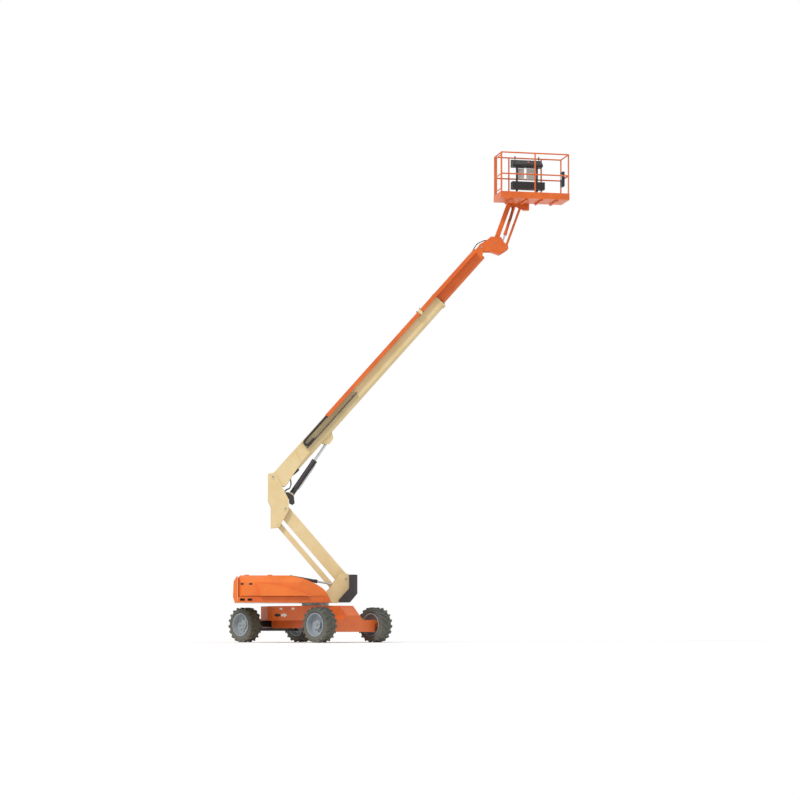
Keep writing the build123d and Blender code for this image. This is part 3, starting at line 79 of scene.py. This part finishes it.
def pin(name):
    """A hinge's place in the row frame."""
    return Vector(JOINTS[name]["pos_m"])


def in_boom(x, y, z):
    """A point of the turntable's frame: along the boom's plan direction, across it and up."""
    return BOOM_X * x + BOOM_Y * y + UP * z


def on_boom(u, y, v):
    """A point along, across and above the main boom's pivot line."""
    pivot = pin("main_lift")
    return pivot + BOOM_LINE * u + BOOM_Y * y + BOOM_UP * v


def on_platform(x, y, z):
    """A point of the platform: along it, from the rotator's axis across it, and above its underside."""
    axis = pin("platform_rotate")
    return Vector((axis.x, axis.y, FLOOR_Z)) + PLATFORM_X * x + PLATFORM_Y * y + UP * z


# Materials
DRIFT_SCALE = 2.3
DRIFT_LOW = 0.35
DRIFT_HIGH = 0.62
SPECKLE_SCALE = 38.0
DUST_COLOUR = "#8F8B7C"
DUST_TOP = 1.1
GLOSS_LOW = 0.85
GLOSS_HIGH = 1.2
COAT_ROUGHNESS = 0.12
BUMP_DEPTH = 0.002


def colour(code):
    """A hex sRGB colour as linear RGBA."""
    values = [int(code[i : i + 2], 16) / 255 for i in (1, 3, 5)]
    linear = [v / 12.92 if v <= 0.04045 else ((v + 0.055) / 1.055) ** 2.4 for v in values]
    return (*linear, 1)


def add_node(tree, kind, links=(), **settings):
    """Adds a node, sets its inputs or attributes, and links sources to its inputs."""
    made = tree.nodes.new(kind)
    for key, value in settings.items():
        if key in made.inputs:
            made.inputs[key].default_value = value
        else:
            setattr(made, key, value)
    for socket, source in links:
        tree.links.new(source, made.inputs[socket])
    return made


def surface(name, base, shade, roughness, grain, bump, metallic=0.0, coat=0.0, dust=0.0):
    """A material whose colour drifts from base to shade, with grain in its bump and dust near the ground."""
    material = bpy.data.materials.new(name)
    material.use_nodes = True
    tree = material.node_tree
    shader = tree.nodes["Principled BSDF"]
    place = add_node(tree, "ShaderNodeTexCoord").outputs["Object"]
    noise = {"Scale": DRIFT_SCALE, "Detail": 6.0, "Roughness": 0.6}
    drift = add_node(tree, "ShaderNodeTexNoise", [("Vector", place)], **noise)
    ramp = add_node(tree, "ShaderNodeValToRGB", [("Fac", drift.outputs["Fac"])])
    ramp.color_ramp.elements[0].position = DRIFT_LOW
    ramp.color_ramp.elements[0].color = colour(shade)
    ramp.color_ramp.elements[1].position = DRIFT_HIGH
    ramp.color_ramp.elements[1].color = colour(base)
    tint = ramp.outputs["Color"]
    if dust:
        height = add_node(tree, "ShaderNodeSeparateXYZ", [("Vector", place)]).outputs["Z"]
        low = add_node(tree, "ShaderNodeMapRange", [("Value", height)])
        low.inputs["From Min"].default_value = 0.0
        low.inputs["From Max"].default_value = DUST_TOP
        low.inputs["To Min"].default_value = dust
        low.inputs["To Max"].default_value = 0.0
        speckle = add_node(tree, "ShaderNodeTexNoise", [("Vector", place)], Scale=SPECKLE_SCALE, Detail=8.0)
        amount = add_node(tree, "ShaderNodeMath", operation="MULTIPLY")
        tree.links.new(low.outputs["Result"], amount.inputs[0])
        tree.links.new(speckle.outputs["Fac"], amount.inputs[1])
        mix = add_node(tree, "ShaderNodeMix", data_type="RGBA")
        tree.links.new(amount.outputs[0], mix.inputs[0])
        tree.links.new(tint, mix.inputs[6])
        mix.inputs[7].default_value = colour(DUST_COLOUR)
        tint = mix.outputs[2]
    tree.links.new(tint, shader.inputs["Base Color"])
    fine = add_node(tree, "ShaderNodeTexNoise", [("Vector", place)], Scale=grain, Detail=4.0)
    gloss = add_node(tree, "ShaderNodeMapRange", [("Value", fine.outputs["Fac"])])
    gloss.inputs["To Min"].default_value = roughness * GLOSS_LOW
    gloss.inputs["To Max"].default_value = min(1.0, roughness * GLOSS_HIGH)
    tree.links.new(gloss.outputs["Result"], shader.inputs["Roughness"])
    grain_height = [("Height", fine.outputs["Fac"])]
    relief = add_node(tree, "ShaderNodeBump", grain_height, Strength=bump, Distance=BUMP_DEPTH)
    tree.links.new(relief.outputs["Normal"], shader.inputs["Normal"])
    shader.inputs["Metallic"].default_value = metallic
    shader.inputs["Coat Weight"].default_value = coat
    shader.inputs["Coat Roughness"].default_value = COAT_ROUGHNESS
    return material


MATERIALS = {
    # Sprayed enamel on steel plate, slight orange peel
    "orange": surface("enamel_orange", "#DC6618", "#CF5A12", 0.42, 90, 0.08, coat=0.1, dust=0.2),
    # Moulded glass-fibre hood skin, gel coat
    "hood": surface("gelcoat_orange", "#E9741E", "#DF6A18", 0.36, 60, 0.05, coat=0.2),
    "cream": surface("enamel_cream", "#DFC897", "#D8BE88", 0.4, 90, 0.08, coat=0.3),
    # Dark enamel of castings and cylinders. On the steer axle it is painted shade: the beam sits in the
    # chassis's shadow, and this dark colour stands in for that shadow
    "dark": surface("enamel_dark_and_painted_shade", "#2E2629", "#241D20", 0.45, 70, 0.12, coat=0.1, dust=0.3),
    "rim": surface("enamel_rim_grey", "#A3ADB4", "#8F99A1", 0.42, 80, 0.1, coat=0.15, dust=0.45),
    # Tyre rubber with dust in the tread
    "tyre": surface("tyre_rubber", "#4C4F4A", "#3C3E3A", 0.9, 140, 0.5, dust=0.8),
    # Hard chrome of cylinder rods
    "chrome": surface("hard_chrome", "#C9CCCF", "#BFC3C7", 0.16, 200, 0.02, metallic=1.0),
    # Zinc-plated fasteners and pins
    "zinc": surface("zinc_plate", "#A9A9A2", "#8E8E88", 0.38, 160, 0.15, metallic=1.0),
    "plastic": surface("black_plastic", "#232225", "#1B1A1D", 0.5, 220, 0.25),
    "hose": surface("hose_rubber", "#2C2D2B", "#232422", 0.55, 260, 0.3),
    # Nylon wear pads
    "nylon": surface("wear_pad_nylon", "#1E1D1C", "#171615", 0.5, 120, 0.1),
    "olive": surface("fitting_olive", "#6F7268", "#5F6259", 0.5, 120, 0.2),
    # Blank vinyl labels
    "label": surface("blank_vinyl", "#E9E6DF", "#DEDAD2", 0.5, 60, 0.03),
    "black_vinyl": surface("black_vinyl", "#1C1A1B", "#151314", 0.45, 60, 0.03),
}

NODE_MATERIALS = {
    "hood": ("hood_near", "hood_far", "tail_cover"),
    "cream": ("tower_boom", "tower_link", "upright", "main_boom", "turntable_frame"),
    "dark": (
        "counterweight",
        # The steer axle's dark colour is painted shade, for the chassis's shadow over the beam
        "steer_axle",
        "steer_cylinder",
        "knuckle_near",
        "knuckle_far",
        "lift_barrel",
        "tower_barrel",
        "chain_bed",
    ),
    "chrome": ("steer_rod", "lift_rod", "tower_rod", "jib_rod"),
    "zinc": ("slew_ring",),
    "rim": ("rim_steer_near", "rim_steer_far", "rim_drive_near", "rim_drive_far"),
    "tyre": ("tyre_steer_near", "tyre_steer_far", "tyre_drive_near", "tyre_drive_far"),
    "plastic": ("battery_pack", "power_unit", "control_console", "chain_bend"),
    "hose": ("hose_bundle",),
}


def paint_frame():
    """Gives every CAD node its material, orange where no other is named."""
    chosen = {node: key for key, nodes in NODE_MATERIALS.items() for node in nodes}
    for name, node in frame["nodes"].items():
        material = MATERIALS[chosen.get(name, "orange")]
        if not node.data.materials:
            node.data.materials.append(material)
        for slot in node.material_slots:
            slot.material = material


# Mesh building
BEVEL_ANGLE = 40


class Form:
    """Collects closed shapes into one mesh."""

    def __init__(self):
        self.mesh = bmesh.new()

    def prism(self, outline, origin, x_dir, y_dir, depth):
        """Extrudes a flat outline by depth along x_dir cross y_dir."""
        normal = x_dir.cross(y_dir).normalized() * depth
        low = [self.mesh.verts.new(origin + x_dir * x + y_dir * y) for x, y in outline]
        high = [self.mesh.verts.new(vertex.co + normal) for vertex in low]
        self.mesh.faces.new(low[::-1])
        self.mesh.faces.new(high)
        count = len(outline)
        for i in range(count):
            j = (i + 1) % count
            self.mesh.faces.new((low[i], low[j], high[j], high[i]))

    def block(self, centre, x_dir, y_dir, size):
        """A box centred on a point, its size along x_dir, y_dir and their normal."""
        x, y = size[0] / 2, size[1] / 2
        origin = centre - x_dir.cross(y_dir).normalized() * (size[2] / 2)
        self.prism([(-x, -y), (x, -y), (x, y), (-x, y)], origin, x_dir, y_dir, size[2])

    def round(self, start, end, radius, sides=24, tip=None):
        """A bar of many sides between two points, tapered where tip is given."""
        axis = (end - start).normalized()
        side = axis.orthogonal().normalized()
        other = axis.cross(side)
        rings = []
        for place, r in ((start, radius), (end, tip or radius)):
            ring = []
            for k in range(sides):
                turn = 2 * math.pi * k / sides
                ring.append(self.mesh.verts.new(place + (side * math.cos(turn) + other * math.sin(turn)) * r))
            rings.append(ring)
        low, high = rings
        self.mesh.faces.new(low[::-1])
        self.mesh.faces.new(high)
        for i in range(sides):
            j = (i + 1) % sides
            self.mesh.faces.new((low[i], low[j], high[j], high[i]))

    def bolts(self, centre, axis, radius, count, size, height, start=0.0):
        """A ring of hexagon heads standing on a face."""
        axis = axis.normalized()
        side = axis.orthogonal().normalized()
        other = axis.cross(side)
        for k in range(count):
            turn = start + 2 * math.pi * k / count
            foot = centre + (side * math.cos(turn) + other * math.sin(turn)) * radius
            self.round(foot - axis * height * 0.2, foot + axis * height, size, sides=6)


def piece(name, form, material, body, bevel=0.0, smooth=False):
    """Turns a form into a named piece that rides on a body."""
    data = bpy.data.meshes.new(name)
    bmesh.ops.recalc_face_normals(form.mesh, faces=form.mesh.faces)
    form.mesh.to_mesh(data)
    form.mesh.free()
    data.materials.append(MATERIALS[material])
    made = bpy.data.objects.new(name, data)
    bpy.context.scene.collection.objects.link(made)
    if bevel:
        edge = made.modifiers.new("edge", "BEVEL")
        edge.width = bevel
        edge.segments = 2
        edge.limit_method = "ANGLE"
        edge.angle_limit = math.radians(BEVEL_ANGLE)
    if smooth:
        data.shade_smooth()
    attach(made, body)
    return made


def hose(name, points, radius, body, material="hose", bend=None):
    """A round hose on a smooth curve through its control points; bend is a second body and its two ends, of
    which nothing is read: given a bend, the hose stays unattached in the row frame.
    """
    curve = bpy.data.curves.new(name, "CURVE")
    curve.dimensions = "3D"
    curve.bevel_depth = radius
    curve.bevel_resolution = 3
    curve.resolution_u = 8
    curve.use_fill_caps = True
    spline = curve.splines.new("NURBS")
    spline.points.add(len(points) - 1)
    for place, point in zip(spline.points, points):
        place.co = (*point, 1)
    spline.order_u = 3
    spline.use_endpoint_u = True
    drawn = bpy.data.objects.new(f"{name}_line", curve)
    bpy.context.scene.collection.objects.link(drawn)
    data = bpy.data.meshes.new_from_object(drawn.evaluated_get(bpy.context.evaluated_depsgraph_get()))
    bpy.data.objects.remove(drawn)
    data.materials.clear()
    data.materials.append(MATERIALS[material])
    data.shade_smooth()
    made = bpy.data.objects.new(name, data)
    bpy.context.scene.collection.objects.link(made)
    if bend:
        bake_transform(made)
    else:
        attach(made, body)
    return made


# Wheels: nuts round the disc, and a cap with bolts on each hub
DISC_FACE = 0.015
NUT_RING = 0.165
NUT_COUNT = 9
NUT_SIZE = 0.017
NUT_HEIGHT = 0.026
HUB_BOLT_COUNT = 8
HUB_BOLT_SIZE = 0.008
HUB_BOLT_HEIGHT = 0.01
HUB_BOLT_SHARE = 0.78
HUB_CAP_SHARE = 0.42
HUB_CAP_HEIGHT = 0.012
WHEELS = (
    # name, body, hub radius, hub stand-out
    ("steer_near", "wheel_steer_near", 0.095, 0.055),
    ("steer_far", "wheel_steer_far", 0.095, 0.055),
    ("drive_near", "wheel_drive_near", 0.11, 0.09),
    ("drive_far", "wheel_drive_far", 0.11, 0.09),
)


def wheels():
    for name, body, hub_radius, hub_out in WHEELS:
        centre = pin(f"spin_{name}")
        out = Vector((0, math.copysign(1, centre.y), 0))
        hub = centre + out * hub_out
        nuts = Form()
        nuts.bolts(centre + out * DISC_FACE, out, NUT_RING, NUT_COUNT, NUT_SIZE, NUT_HEIGHT)
        nuts.bolts(hub, out, hub_radius * HUB_BOLT_SHARE, HUB_BOLT_COUNT, HUB_BOLT_SIZE, HUB_BOLT_HEIGHT)
        cap_top = centre + out * (hub_out + HUB_CAP_HEIGHT)
        nuts.round(hub, cap_top, hub_radius * HUB_CAP_SHARE, sides=32)
        piece(f"wheel_nuts_{name}", nuts, "zinc", body, bevel=0.002)


# Hood latches, alike on both sides: a case with a raised handle
LATCHES = (-1.9, -1.68)
LATCH_Z = 1.5
LATCH_OUT = 0.002
LATCH_CASE = (0.075, 0.045, 0.012)
LATCH_HANDLE = (0.045, 0.016, 0.012)
LATCH_HANDLE_OUT = 0.008


def hoods():
    for side, body in ((-1, "hood_near"), (1, "hood_far")):
        out = BOOM_Y * side
        latch = Form()
        for x in LATCHES:
            place = in_boom(x, side * (HOOD_FACE + LATCH_OUT), LATCH_Z)
            latch.block(place, BOOM_X, UP, LATCH_CASE)
            latch.block(place + out * LATCH_HANDLE_OUT, BOOM_X, UP, LATCH_HANDLE)
        piece(f"{body}_latches", latch, "plastic", body, bevel=0.003)


# Blank labels on the counterweight's face
WEIGHT_FACE_X = 1.0785
WEIGHT_LABEL_Y = (-0.2, 0.16)
WEIGHT_LABEL_Z = 1.42
WEIGHT_LABEL = (0.11, 0.15, 0.002)

# Chassis side: half of the double arrow, and blank labels given as x, z, width, height
CHASSIS_FACE = 0.6205
ARROW_X = -0.65
ARROW_Z = 0.71
ARROW_HALF = (
    (0.015, -0.03),
    (0.12, -0.03),
    (0.12, -0.065),
    (0.25, 0),
    (0.12, 0.065),
    (0.12, 0.03),
    (0.015, 0.03),
)
ARROW_THICK = 0.0015
CHASSIS_LABELS = ((-0.64, 0.875, 0.1, 0.05), (-0.19, 0.875, 0.1, 0.05))
CHASSIS_LABEL_THICK = 0.0024


def labels():
    """Blank vinyl labels on the counterweight, and a double arrow and labels on each chassis side."""
    blank = Form()
    weight_face = in_boom(WEIGHT_FACE_X, 0, 0)
    for y in WEIGHT_LABEL_Y:
        blank.block(weight_face + BOOM_Y * y + UP * WEIGHT_LABEL_Z, BOOM_Y, UP, WEIGHT_LABEL)
    piece("counterweight_labels", blank, "label", "turntable")
    along = Vector((1, 0, 0))
    light = Form()
    dark = Form()
    for side in (-1, 1):
        for form, way in ((dark, -1), (light, 1)):
            outline = [(x * way, z) for x, z in ARROW_HALF]
            face = Vector((ARROW_X, side * CHASSIS_FACE, ARROW_Z))
            form.prism(outline if side > 0 else outline[::-1], face, along, UP, -ARROW_THICK * side)
        for x, z, width, height in CHASSIS_LABELS:
            centre = Vector((x, side * CHASSIS_FACE, z))
            light.block(centre, along, UP, (width, height, CHASSIS_LABEL_THICK))
    piece("chassis_arrows_black", dark, "black_vinyl", "chassis")
    piece("chassis_arrows_white", light, "label", "chassis")


# Pin heads: round keepers, each with two bolts, on the outer faces of the plates that hold the pins
PIN_HEADS = (
    # pin, body, face half width, radius
    ("tower_lift", "turntable", 0.252, 0.038),
    ("upright_level", "upright", 0.217, 0.038),
    ("main_lift", "upright", 0.217, 0.038),
    ("tip_level", "fly", 0.128, 0.03),
    ("jib_lift", "tip_bracket", 0.112, 0.022),
    ("jib_link_turn", "tip_bracket", 0.112, 0.022),
    ("jib_level", "jib_head", 0.112, 0.022),
)
PIN_HEAD_HEIGHT = 0.004
PIN_BOLT_HEIGHT = 0.008


def pin_heads():
    for name, body, half, radius in PIN_HEADS:
        heads = Form()
        for side in (-1, 1):
            out = BOOM_Y * side
            face = pin(name) - BOOM_Y * pin(name).dot(BOOM_Y) + out * half
            heads.round(face, face + out * PIN_HEAD_HEIGHT, radius * 0.7, sides=24)
            heads.bolts(face + out * 0.003, out, radius * 0.35, 2, radius * 0.16, PIN_BOLT_HEIGHT)
        piece(f"pin_heads_{name}", heads, "zinc", body, bevel=0.001)


# Main boom's mouth: wear pads above and below the fly boom, and at its flanks
PAD_U = 6.335
PAD_SIZE = (0.05, 0.07, 0.026)
PAD_Y = (-0.085, 0.085)
PAD_V = (0.036, -0.316)
FLANK_PAD_Y = 0.136
FLANK_PAD_V = (-0.03, -0.22)

# Bolts on the collar and in rows along the boom's end
BOLT_HEIGHT = 0.008
COLLAR_BOLT_U = 6.3
COLLAR_BOLT_Y = 0.182
COLLAR_BOLT_V = (0.0, -0.07, -0.2, -0.27)
COLLAR_BOLT_SIZE = 0.01
ROW_BOLT_U = (5.66, 5.85, 6.05, 6.2)
ROW_BOLT_Y = 0.168
ROW_BOLT_V = (-0.02, -0.26)
ROW_BOLT_SIZE = 0.009

# Clamp round the push tube, and the dark plate at the boom's tail
CLAMP_U = 5.74
CLAMP_HALF = 0.06
CLAMP_Y = -0.236
CLAMP_V = (-0.052, 0.078)
CLAMP_BAR = (0.02, 0.15, 0.02)
TAIL_PLACE = (0.135, 0, -0.155)
TAIL_PLATE = (0.31, 0.38, 0.012)


def boom_fittings():
    pads = Form()
    for y in PAD_Y:
        for v in PAD_V:
            pads.block(on_boom(PAD_U, y, v), BOOM_LINE, BOOM_Y, PAD_SIZE)
    for side in (-1, 1):
        for v in FLANK_PAD_V:
            pads.block(on_boom(PAD_U, side * FLANK_PAD_Y, v), BOOM_LINE, BOOM_UP, PAD_SIZE)
    piece("boom_wear_pads", pads, "nylon", "main_boom", bevel=0.003)
    bolts = Form()
    for v in COLLAR_BOLT_V:
        for side in (-1, 1):
            foot = on_boom(COLLAR_BOLT_U, side * COLLAR_BOLT_Y, v)
            bolts.bolts(foot, BOOM_Y * side, 0.0, 1, COLLAR_BOLT_SIZE, BOLT_HEIGHT)
    for u in ROW_BOLT_U:
        for v in ROW_BOLT_V:
            for side in (-1, 1):
                foot = on_boom(u, side * ROW_BOLT_Y, v)
                bolts.bolts(foot, BOOM_Y * side, 0.0, 1, ROW_BOLT_SIZE, BOLT_HEIGHT)
    piece("boom_bolts", bolts, "zinc", "main_boom", bevel=0.001)
    clamp = Form()
    for u in (CLAMP_U - CLAMP_HALF, CLAMP_U + CLAMP_HALF):
        for v in CLAMP_V:
            clamp.block(on_boom(u, CLAMP_Y, v), BOOM_LINE, BOOM_Y, CLAMP_BAR)
    piece("push_tube_clamp", clamp, "dark", "main_boom", bevel=0.003)
    tail = Form()
    tail.block(on_boom(*TAIL_PLACE), BOOM_Y, BOOM_UP, TAIL_PLATE)
    piece("boom_tail_plate", tail, "dark", "main_boom", bevel=0.003)


# Hose carrier: side plates and pins of the links along its upper run
LINK_COUNT = 24
LINK_START = 1.29
LINK_PITCH = 0.09
LINK_SET = 0.04
LINK_Y = (-0.2705, -0.1985)
LINK_MID_Y = -0.23
LINK_V = 0.005
LINK_PLATE = (0.062, 0.04, 0.003)
LINK_PIN_SIZE = 0.008
LINK_PIN_HEIGHT = 0.006


def carrier_links():
    links = Form()
    for k in range(LINK_COUNT):
        u = LINK_START + LINK_PITCH * k
        for y in LINK_Y:
            place = on_boom(u + LINK_SET, y, LINK_V)
            out = BOOM_Y * (1 if y > LINK_MID_Y else -1)
            links.block(place, BOOM_LINE, BOOM_UP, LINK_PLATE)
            links.bolts(place, out, 0.0, 1, LINK_PIN_SIZE, LINK_PIN_HEIGHT)
    piece("carrier_links", links, "plastic", "carrier", bevel=0.001)


# Hoses at the boom's base, over its tip, and along the jib and lift cylinders
BASE_HOSE_Y = (-0.155, -0.13, -0.105, 0.11, 0.135)
BASE_HOSE_RADIUS = 0.014
TIP_HOSE_COUNT = 3
TIP_HOSE_PITCH = 0.05
TIP_HOSE_RADIUS = 0.011
JIB_LINE_Y = -0.045
JIB_LINE = (
    (5.04, 11.0),
    (5.1, 11.03),
    (5.13, 11.1),
    (5.13, 11.25),
    (5.13, 11.4),
    (5.1, 11.46),
    (5.05, 11.48),
)
JIB_LINE_RADIUS = 0.012
LIFT_PINS_APART = 1.7328
LIFT_LINE_SIDE = 0.05
# Places along the lift cylinder from its foot, and off its axis
LIFT_LINE = ((0.2, -0.06), (0.24, -0.085), (0.5, -0.085), (1.0, -0.085), (1.05, -0.065))
LIFT_LINE_RADIUS = 0.009


def hoses():
    for k, y in enumerate(BASE_HOSE_Y):
        start = in_boom(-0.84, y, 3.86)
        route = [
            start,
            in_boom(-0.76, y, 3.95 + 0.01 * k),
            in_boom(-0.66, y, 3.99),
            in_boom(-0.62, y, 4.13),
            in_boom(-0.67, y, 4.28 + 0.01 * k),
            on_boom(0.42, y, -0.362),
            on_boom(0.6, y, -0.375),
        ]
        bend = ("main_boom", start, on_boom(0.42, y, -0.36))
        hose(f"boom_base_hose_{k}", route, BASE_HOSE_RADIUS, "upright", bend=bend)
    for k in range(TIP_HOSE_COUNT):
        y = -0.06 + TIP_HOSE_PITCH * k
        lift = 0.006 * k
        route = [
            on_boom(7.72, y, 0.03),
            on_boom(7.86, y, 0.045),
            in_boom(4.19, y, 10.37 + lift),
            in_boom(4.3, y, 10.44 + lift),
            in_boom(4.42, y, 10.49 + lift),
            in_boom(4.5, y, 10.485),
        ]
        bend = ("tip_bracket", on_boom(7.86, y, 0.045), in_boom(4.42, y, 10.5))
        hose(f"tip_hose_{k}", route, TIP_HOSE_RADIUS, "fly", bend=bend)
    jib_line = [in_boom(x, JIB_LINE_Y, z) for x, z in JIB_LINE]
    hose("jib_cylinder_hose", jib_line, JIB_LINE_RADIUS, "jib_barrel")
    # The slide's axis runs from the rod's eye down to the barrel's foot
    slide = Vector(JOINTS["lift_ram_slide"]["axis"]).normalized()
    foot = pin("lift_ram_tilt") + slide * LIFT_PINS_APART
    reach = -slide
    off = reach.cross(BOOM_Y).normalized()
    for side in (-1, 1):
        route = [foot + reach * u + BOOM_Y * LIFT_LINE_SIDE * side + off * v for u, v in LIFT_LINE]
        hose(f"lift_cylinder_line_{side + 1}", route, LIFT_LINE_RADIUS, "lift_barrel", material="zinc")


# Platform: joysticks, switches, stop button and blank plates of the console, and the socket box
CONSOLE_FRONT = PLATFORM_BACK - 0.043
JOYSTICK_X = (-0.39, 0.25)
JOYSTICK_BACK = 0.14
JOYSTICK_Z = 1.06
SWITCH_COUNT = 7
SWITCH_START = -0.25
SWITCH_PITCH = 0.07
SWITCH_BACK = 0.17
SWITCH_Z = 1.035
PLATES = ((-0.21, 0.2), (0.06, 0.22))
PLATE_Z = 0.76
PLATE_HEIGHT = 0.28
PLATE_THICK = 0.004
SOCKET_BACK = PLATFORM_BACK - 0.35
SOCKET_CASE = (0.2, 0.38, 0.07)
SOCKET_WINDOW = (0.1, 0.14, 0.004)
TOE_BOLT_X = (-0.8, -0.4, 0.0, 0.4, 0.8)
TOE_BOLT_Z = 0.09


def platform_fittings():
    knobs = Form()
    for x in JOYSTICK_X:
        foot = on_platform(x, CONSOLE_FRONT - JOYSTICK_BACK, JOYSTICK_Z)
        knobs.round(foot, foot + UP * 0.09, 0.008, sides=12)
        knobs.round(foot + UP * 0.06, foot + UP * 0.13, 0.02, sides=16, tip=0.014)
        knobs.round(foot - UP * 0.02, foot + UP * 0.025, 0.032, sides=20, tip=0.018)
    for k in range(SWITCH_COUNT):
        foot = on_platform(SWITCH_START + SWITCH_PITCH * k, CONSOLE_FRONT - SWITCH_BACK, SWITCH_Z)
        knobs.round(foot, foot + UP * 0.03, 0.008, sides=10)
    piece("console_controls", knobs, "plastic", "platform", bevel=0.001)
    plates = Form()
    for x, width in PLATES:
        centre = on_platform(x, PLATFORM_BACK - 0.055, PLATE_Z)
        plates.block(centre, PLATFORM_X, UP, (width, PLATE_HEIGHT, PLATE_THICK))
    piece("platform_plates", plates, "label", "platform", bevel=0.001)
    stop = Form()
    stop_foot = on_platform(-0.05, CONSOLE_FRONT - 0.2, 1.01)
    stop_top = on_platform(-0.05, CONSOLE_FRONT - 0.225, 1.03)
    stop.round(stop_foot, stop_top, 0.022, sides=20)
    piece("stop_button", stop, "orange", "platform", bevel=0.001)
    case = Form()
    case.block(on_platform(0.84, SOCKET_BACK, 0.6), PLATFORM_Y, UP, SOCKET_CASE)
    piece("socket_box", case, "plastic", "platform", bevel=0.006)
    window = Form()
    window.block(on_platform(0.802, SOCKET_BACK, 0.66), PLATFORM_Y, UP, SOCKET_WINDOW)
    piece("socket_box_window", window, "label", "platform", bevel=0.001)
    bolts = Form()
    for x in TOE_BOLT_X:
        foot = on_platform(x, PLATFORM_BACK - PLATFORM_DEPTH, TOE_BOLT_Z)
        bolts.bolts(foot, PLATFORM_Y * -1, 0.0, 1, 0.009, 0.007)
    piece("toe_board_bolts", bolts, "zinc", "platform")


# Camera, floor and light
FLOOR_REACH = 90
SKY_STRENGTH = 0.62
SUN_ENERGY = 1.75
SUN_ANGLE = 12
SUN_TILT = (45, -8, CAMERA_AZIMUTH - 25)


def camera():
    azimuth = math.radians(CAMERA_AZIMUTH)
    look = Vector((-math.sin(azimuth), math.cos(azimuth), 0))
    right = Vector((math.cos(azimuth), math.sin(azimuth), 0))
    data = bpy.data.cameras.new("camera")
    data.sensor_width = SENSOR
    data.lens = FOCAL_PIXELS / IMAGE_WIDTH * SENSOR
    data.shift_y = (HORIZON_PIXEL_Y - IMAGE_WIDTH / 2) / IMAGE_WIDTH
    data.clip_end = FAR_CLIP
    made = bpy.data.objects.new("camera", data)
    offset = (IMAGE_WIDTH / 2 - AXIS_PIXEL_X) * CAMERA_DISTANCE / FOCAL_PIXELS
    made.location = right * offset - look * CAMERA_DISTANCE + UP * CAMERA_HEIGHT
    made.rotation_euler = (math.pi / 2, 0, azimuth)
    bpy.context.scene.collection.objects.link(made)
    bpy.context.scene.camera = made


def stage():
    mesh = bpy.data.meshes.new("floor")
    corners = [(x * FLOOR_REACH, y * FLOOR_REACH, 0) for x, y in ((-1, -1), (1, -1), (1, 1), (-1, 1))]
    mesh.from_pydata(corners, [], [(0, 1, 2, 3)])
    floor = bpy.data.objects.new("floor", mesh)
    # Painted studio floor
    material = bpy.data.materials.new("studio_floor")
    material.use_nodes = True
    shader = material.node_tree.nodes["Principled BSDF"]
    shader.inputs["Base Color"].default_value = (1, 1, 1, 1)
    shader.inputs["Roughness"].default_value = 1.0
    shader.inputs["Specular IOR Level"].default_value = 0.0
    mesh.materials.append(material)
    bpy.context.scene.collection.objects.link(floor)
    world = bpy.data.worlds.new("studio")
    world.use_nodes = True
    tree = world.node_tree
    sky = tree.nodes["Background"]
    sky.inputs["Color"].default_value = (1, 1, 1, 1)
    sky.inputs["Strength"].default_value = SKY_STRENGTH
    seen = add_node(tree, "ShaderNodeBackground", Color=(1, 1, 1, 1), Strength=1.0)
    rays = add_node(tree, "ShaderNodeLightPath")
    mix = add_node(tree, "ShaderNodeMixShader")
    glossy = add_node(tree, "ShaderNodeMath", operation="MAXIMUM")
    through = add_node(tree, "ShaderNodeMath", operation="MAXIMUM")
    tree.links.new(rays.outputs["Is Camera Ray"], glossy.inputs[0])
    tree.links.new(rays.outputs["Is Glossy Ray"], glossy.inputs[1])
    tree.links.new(glossy.outputs[0], through.inputs[0])
    tree.links.new(rays.outputs["Is Transmission Ray"], through.inputs[1])
    tree.links.new(through.outputs[0], mix.inputs[0])
    tree.links.new(sky.outputs[0], mix.inputs[1])
    tree.links.new(seen.outputs[0], mix.inputs[2])
    tree.links.new(mix.outputs[0], tree.nodes["World Output"].inputs["Surface"])
    bpy.context.scene.world = world
    sun_data = bpy.data.lights.new("sun", "SUN")
    sun_data.energy = SUN_ENERGY
    sun_data.angle = math.radians(SUN_ANGLE)
    sun = bpy.data.objects.new("sun", sun_data)
    sun.rotation_euler = [math.radians(angle) for angle in SUN_TILT]
    bpy.context.scene.collection.objects.link(sun)
    bpy.context.scene.view_settings.view_transform = "Standard"


paint_frame()
wheels()
hoods()
labels()
pin_heads()
boom_fittings()
carrier_links()
hoses()
platform_fittings()
camera()
stage()
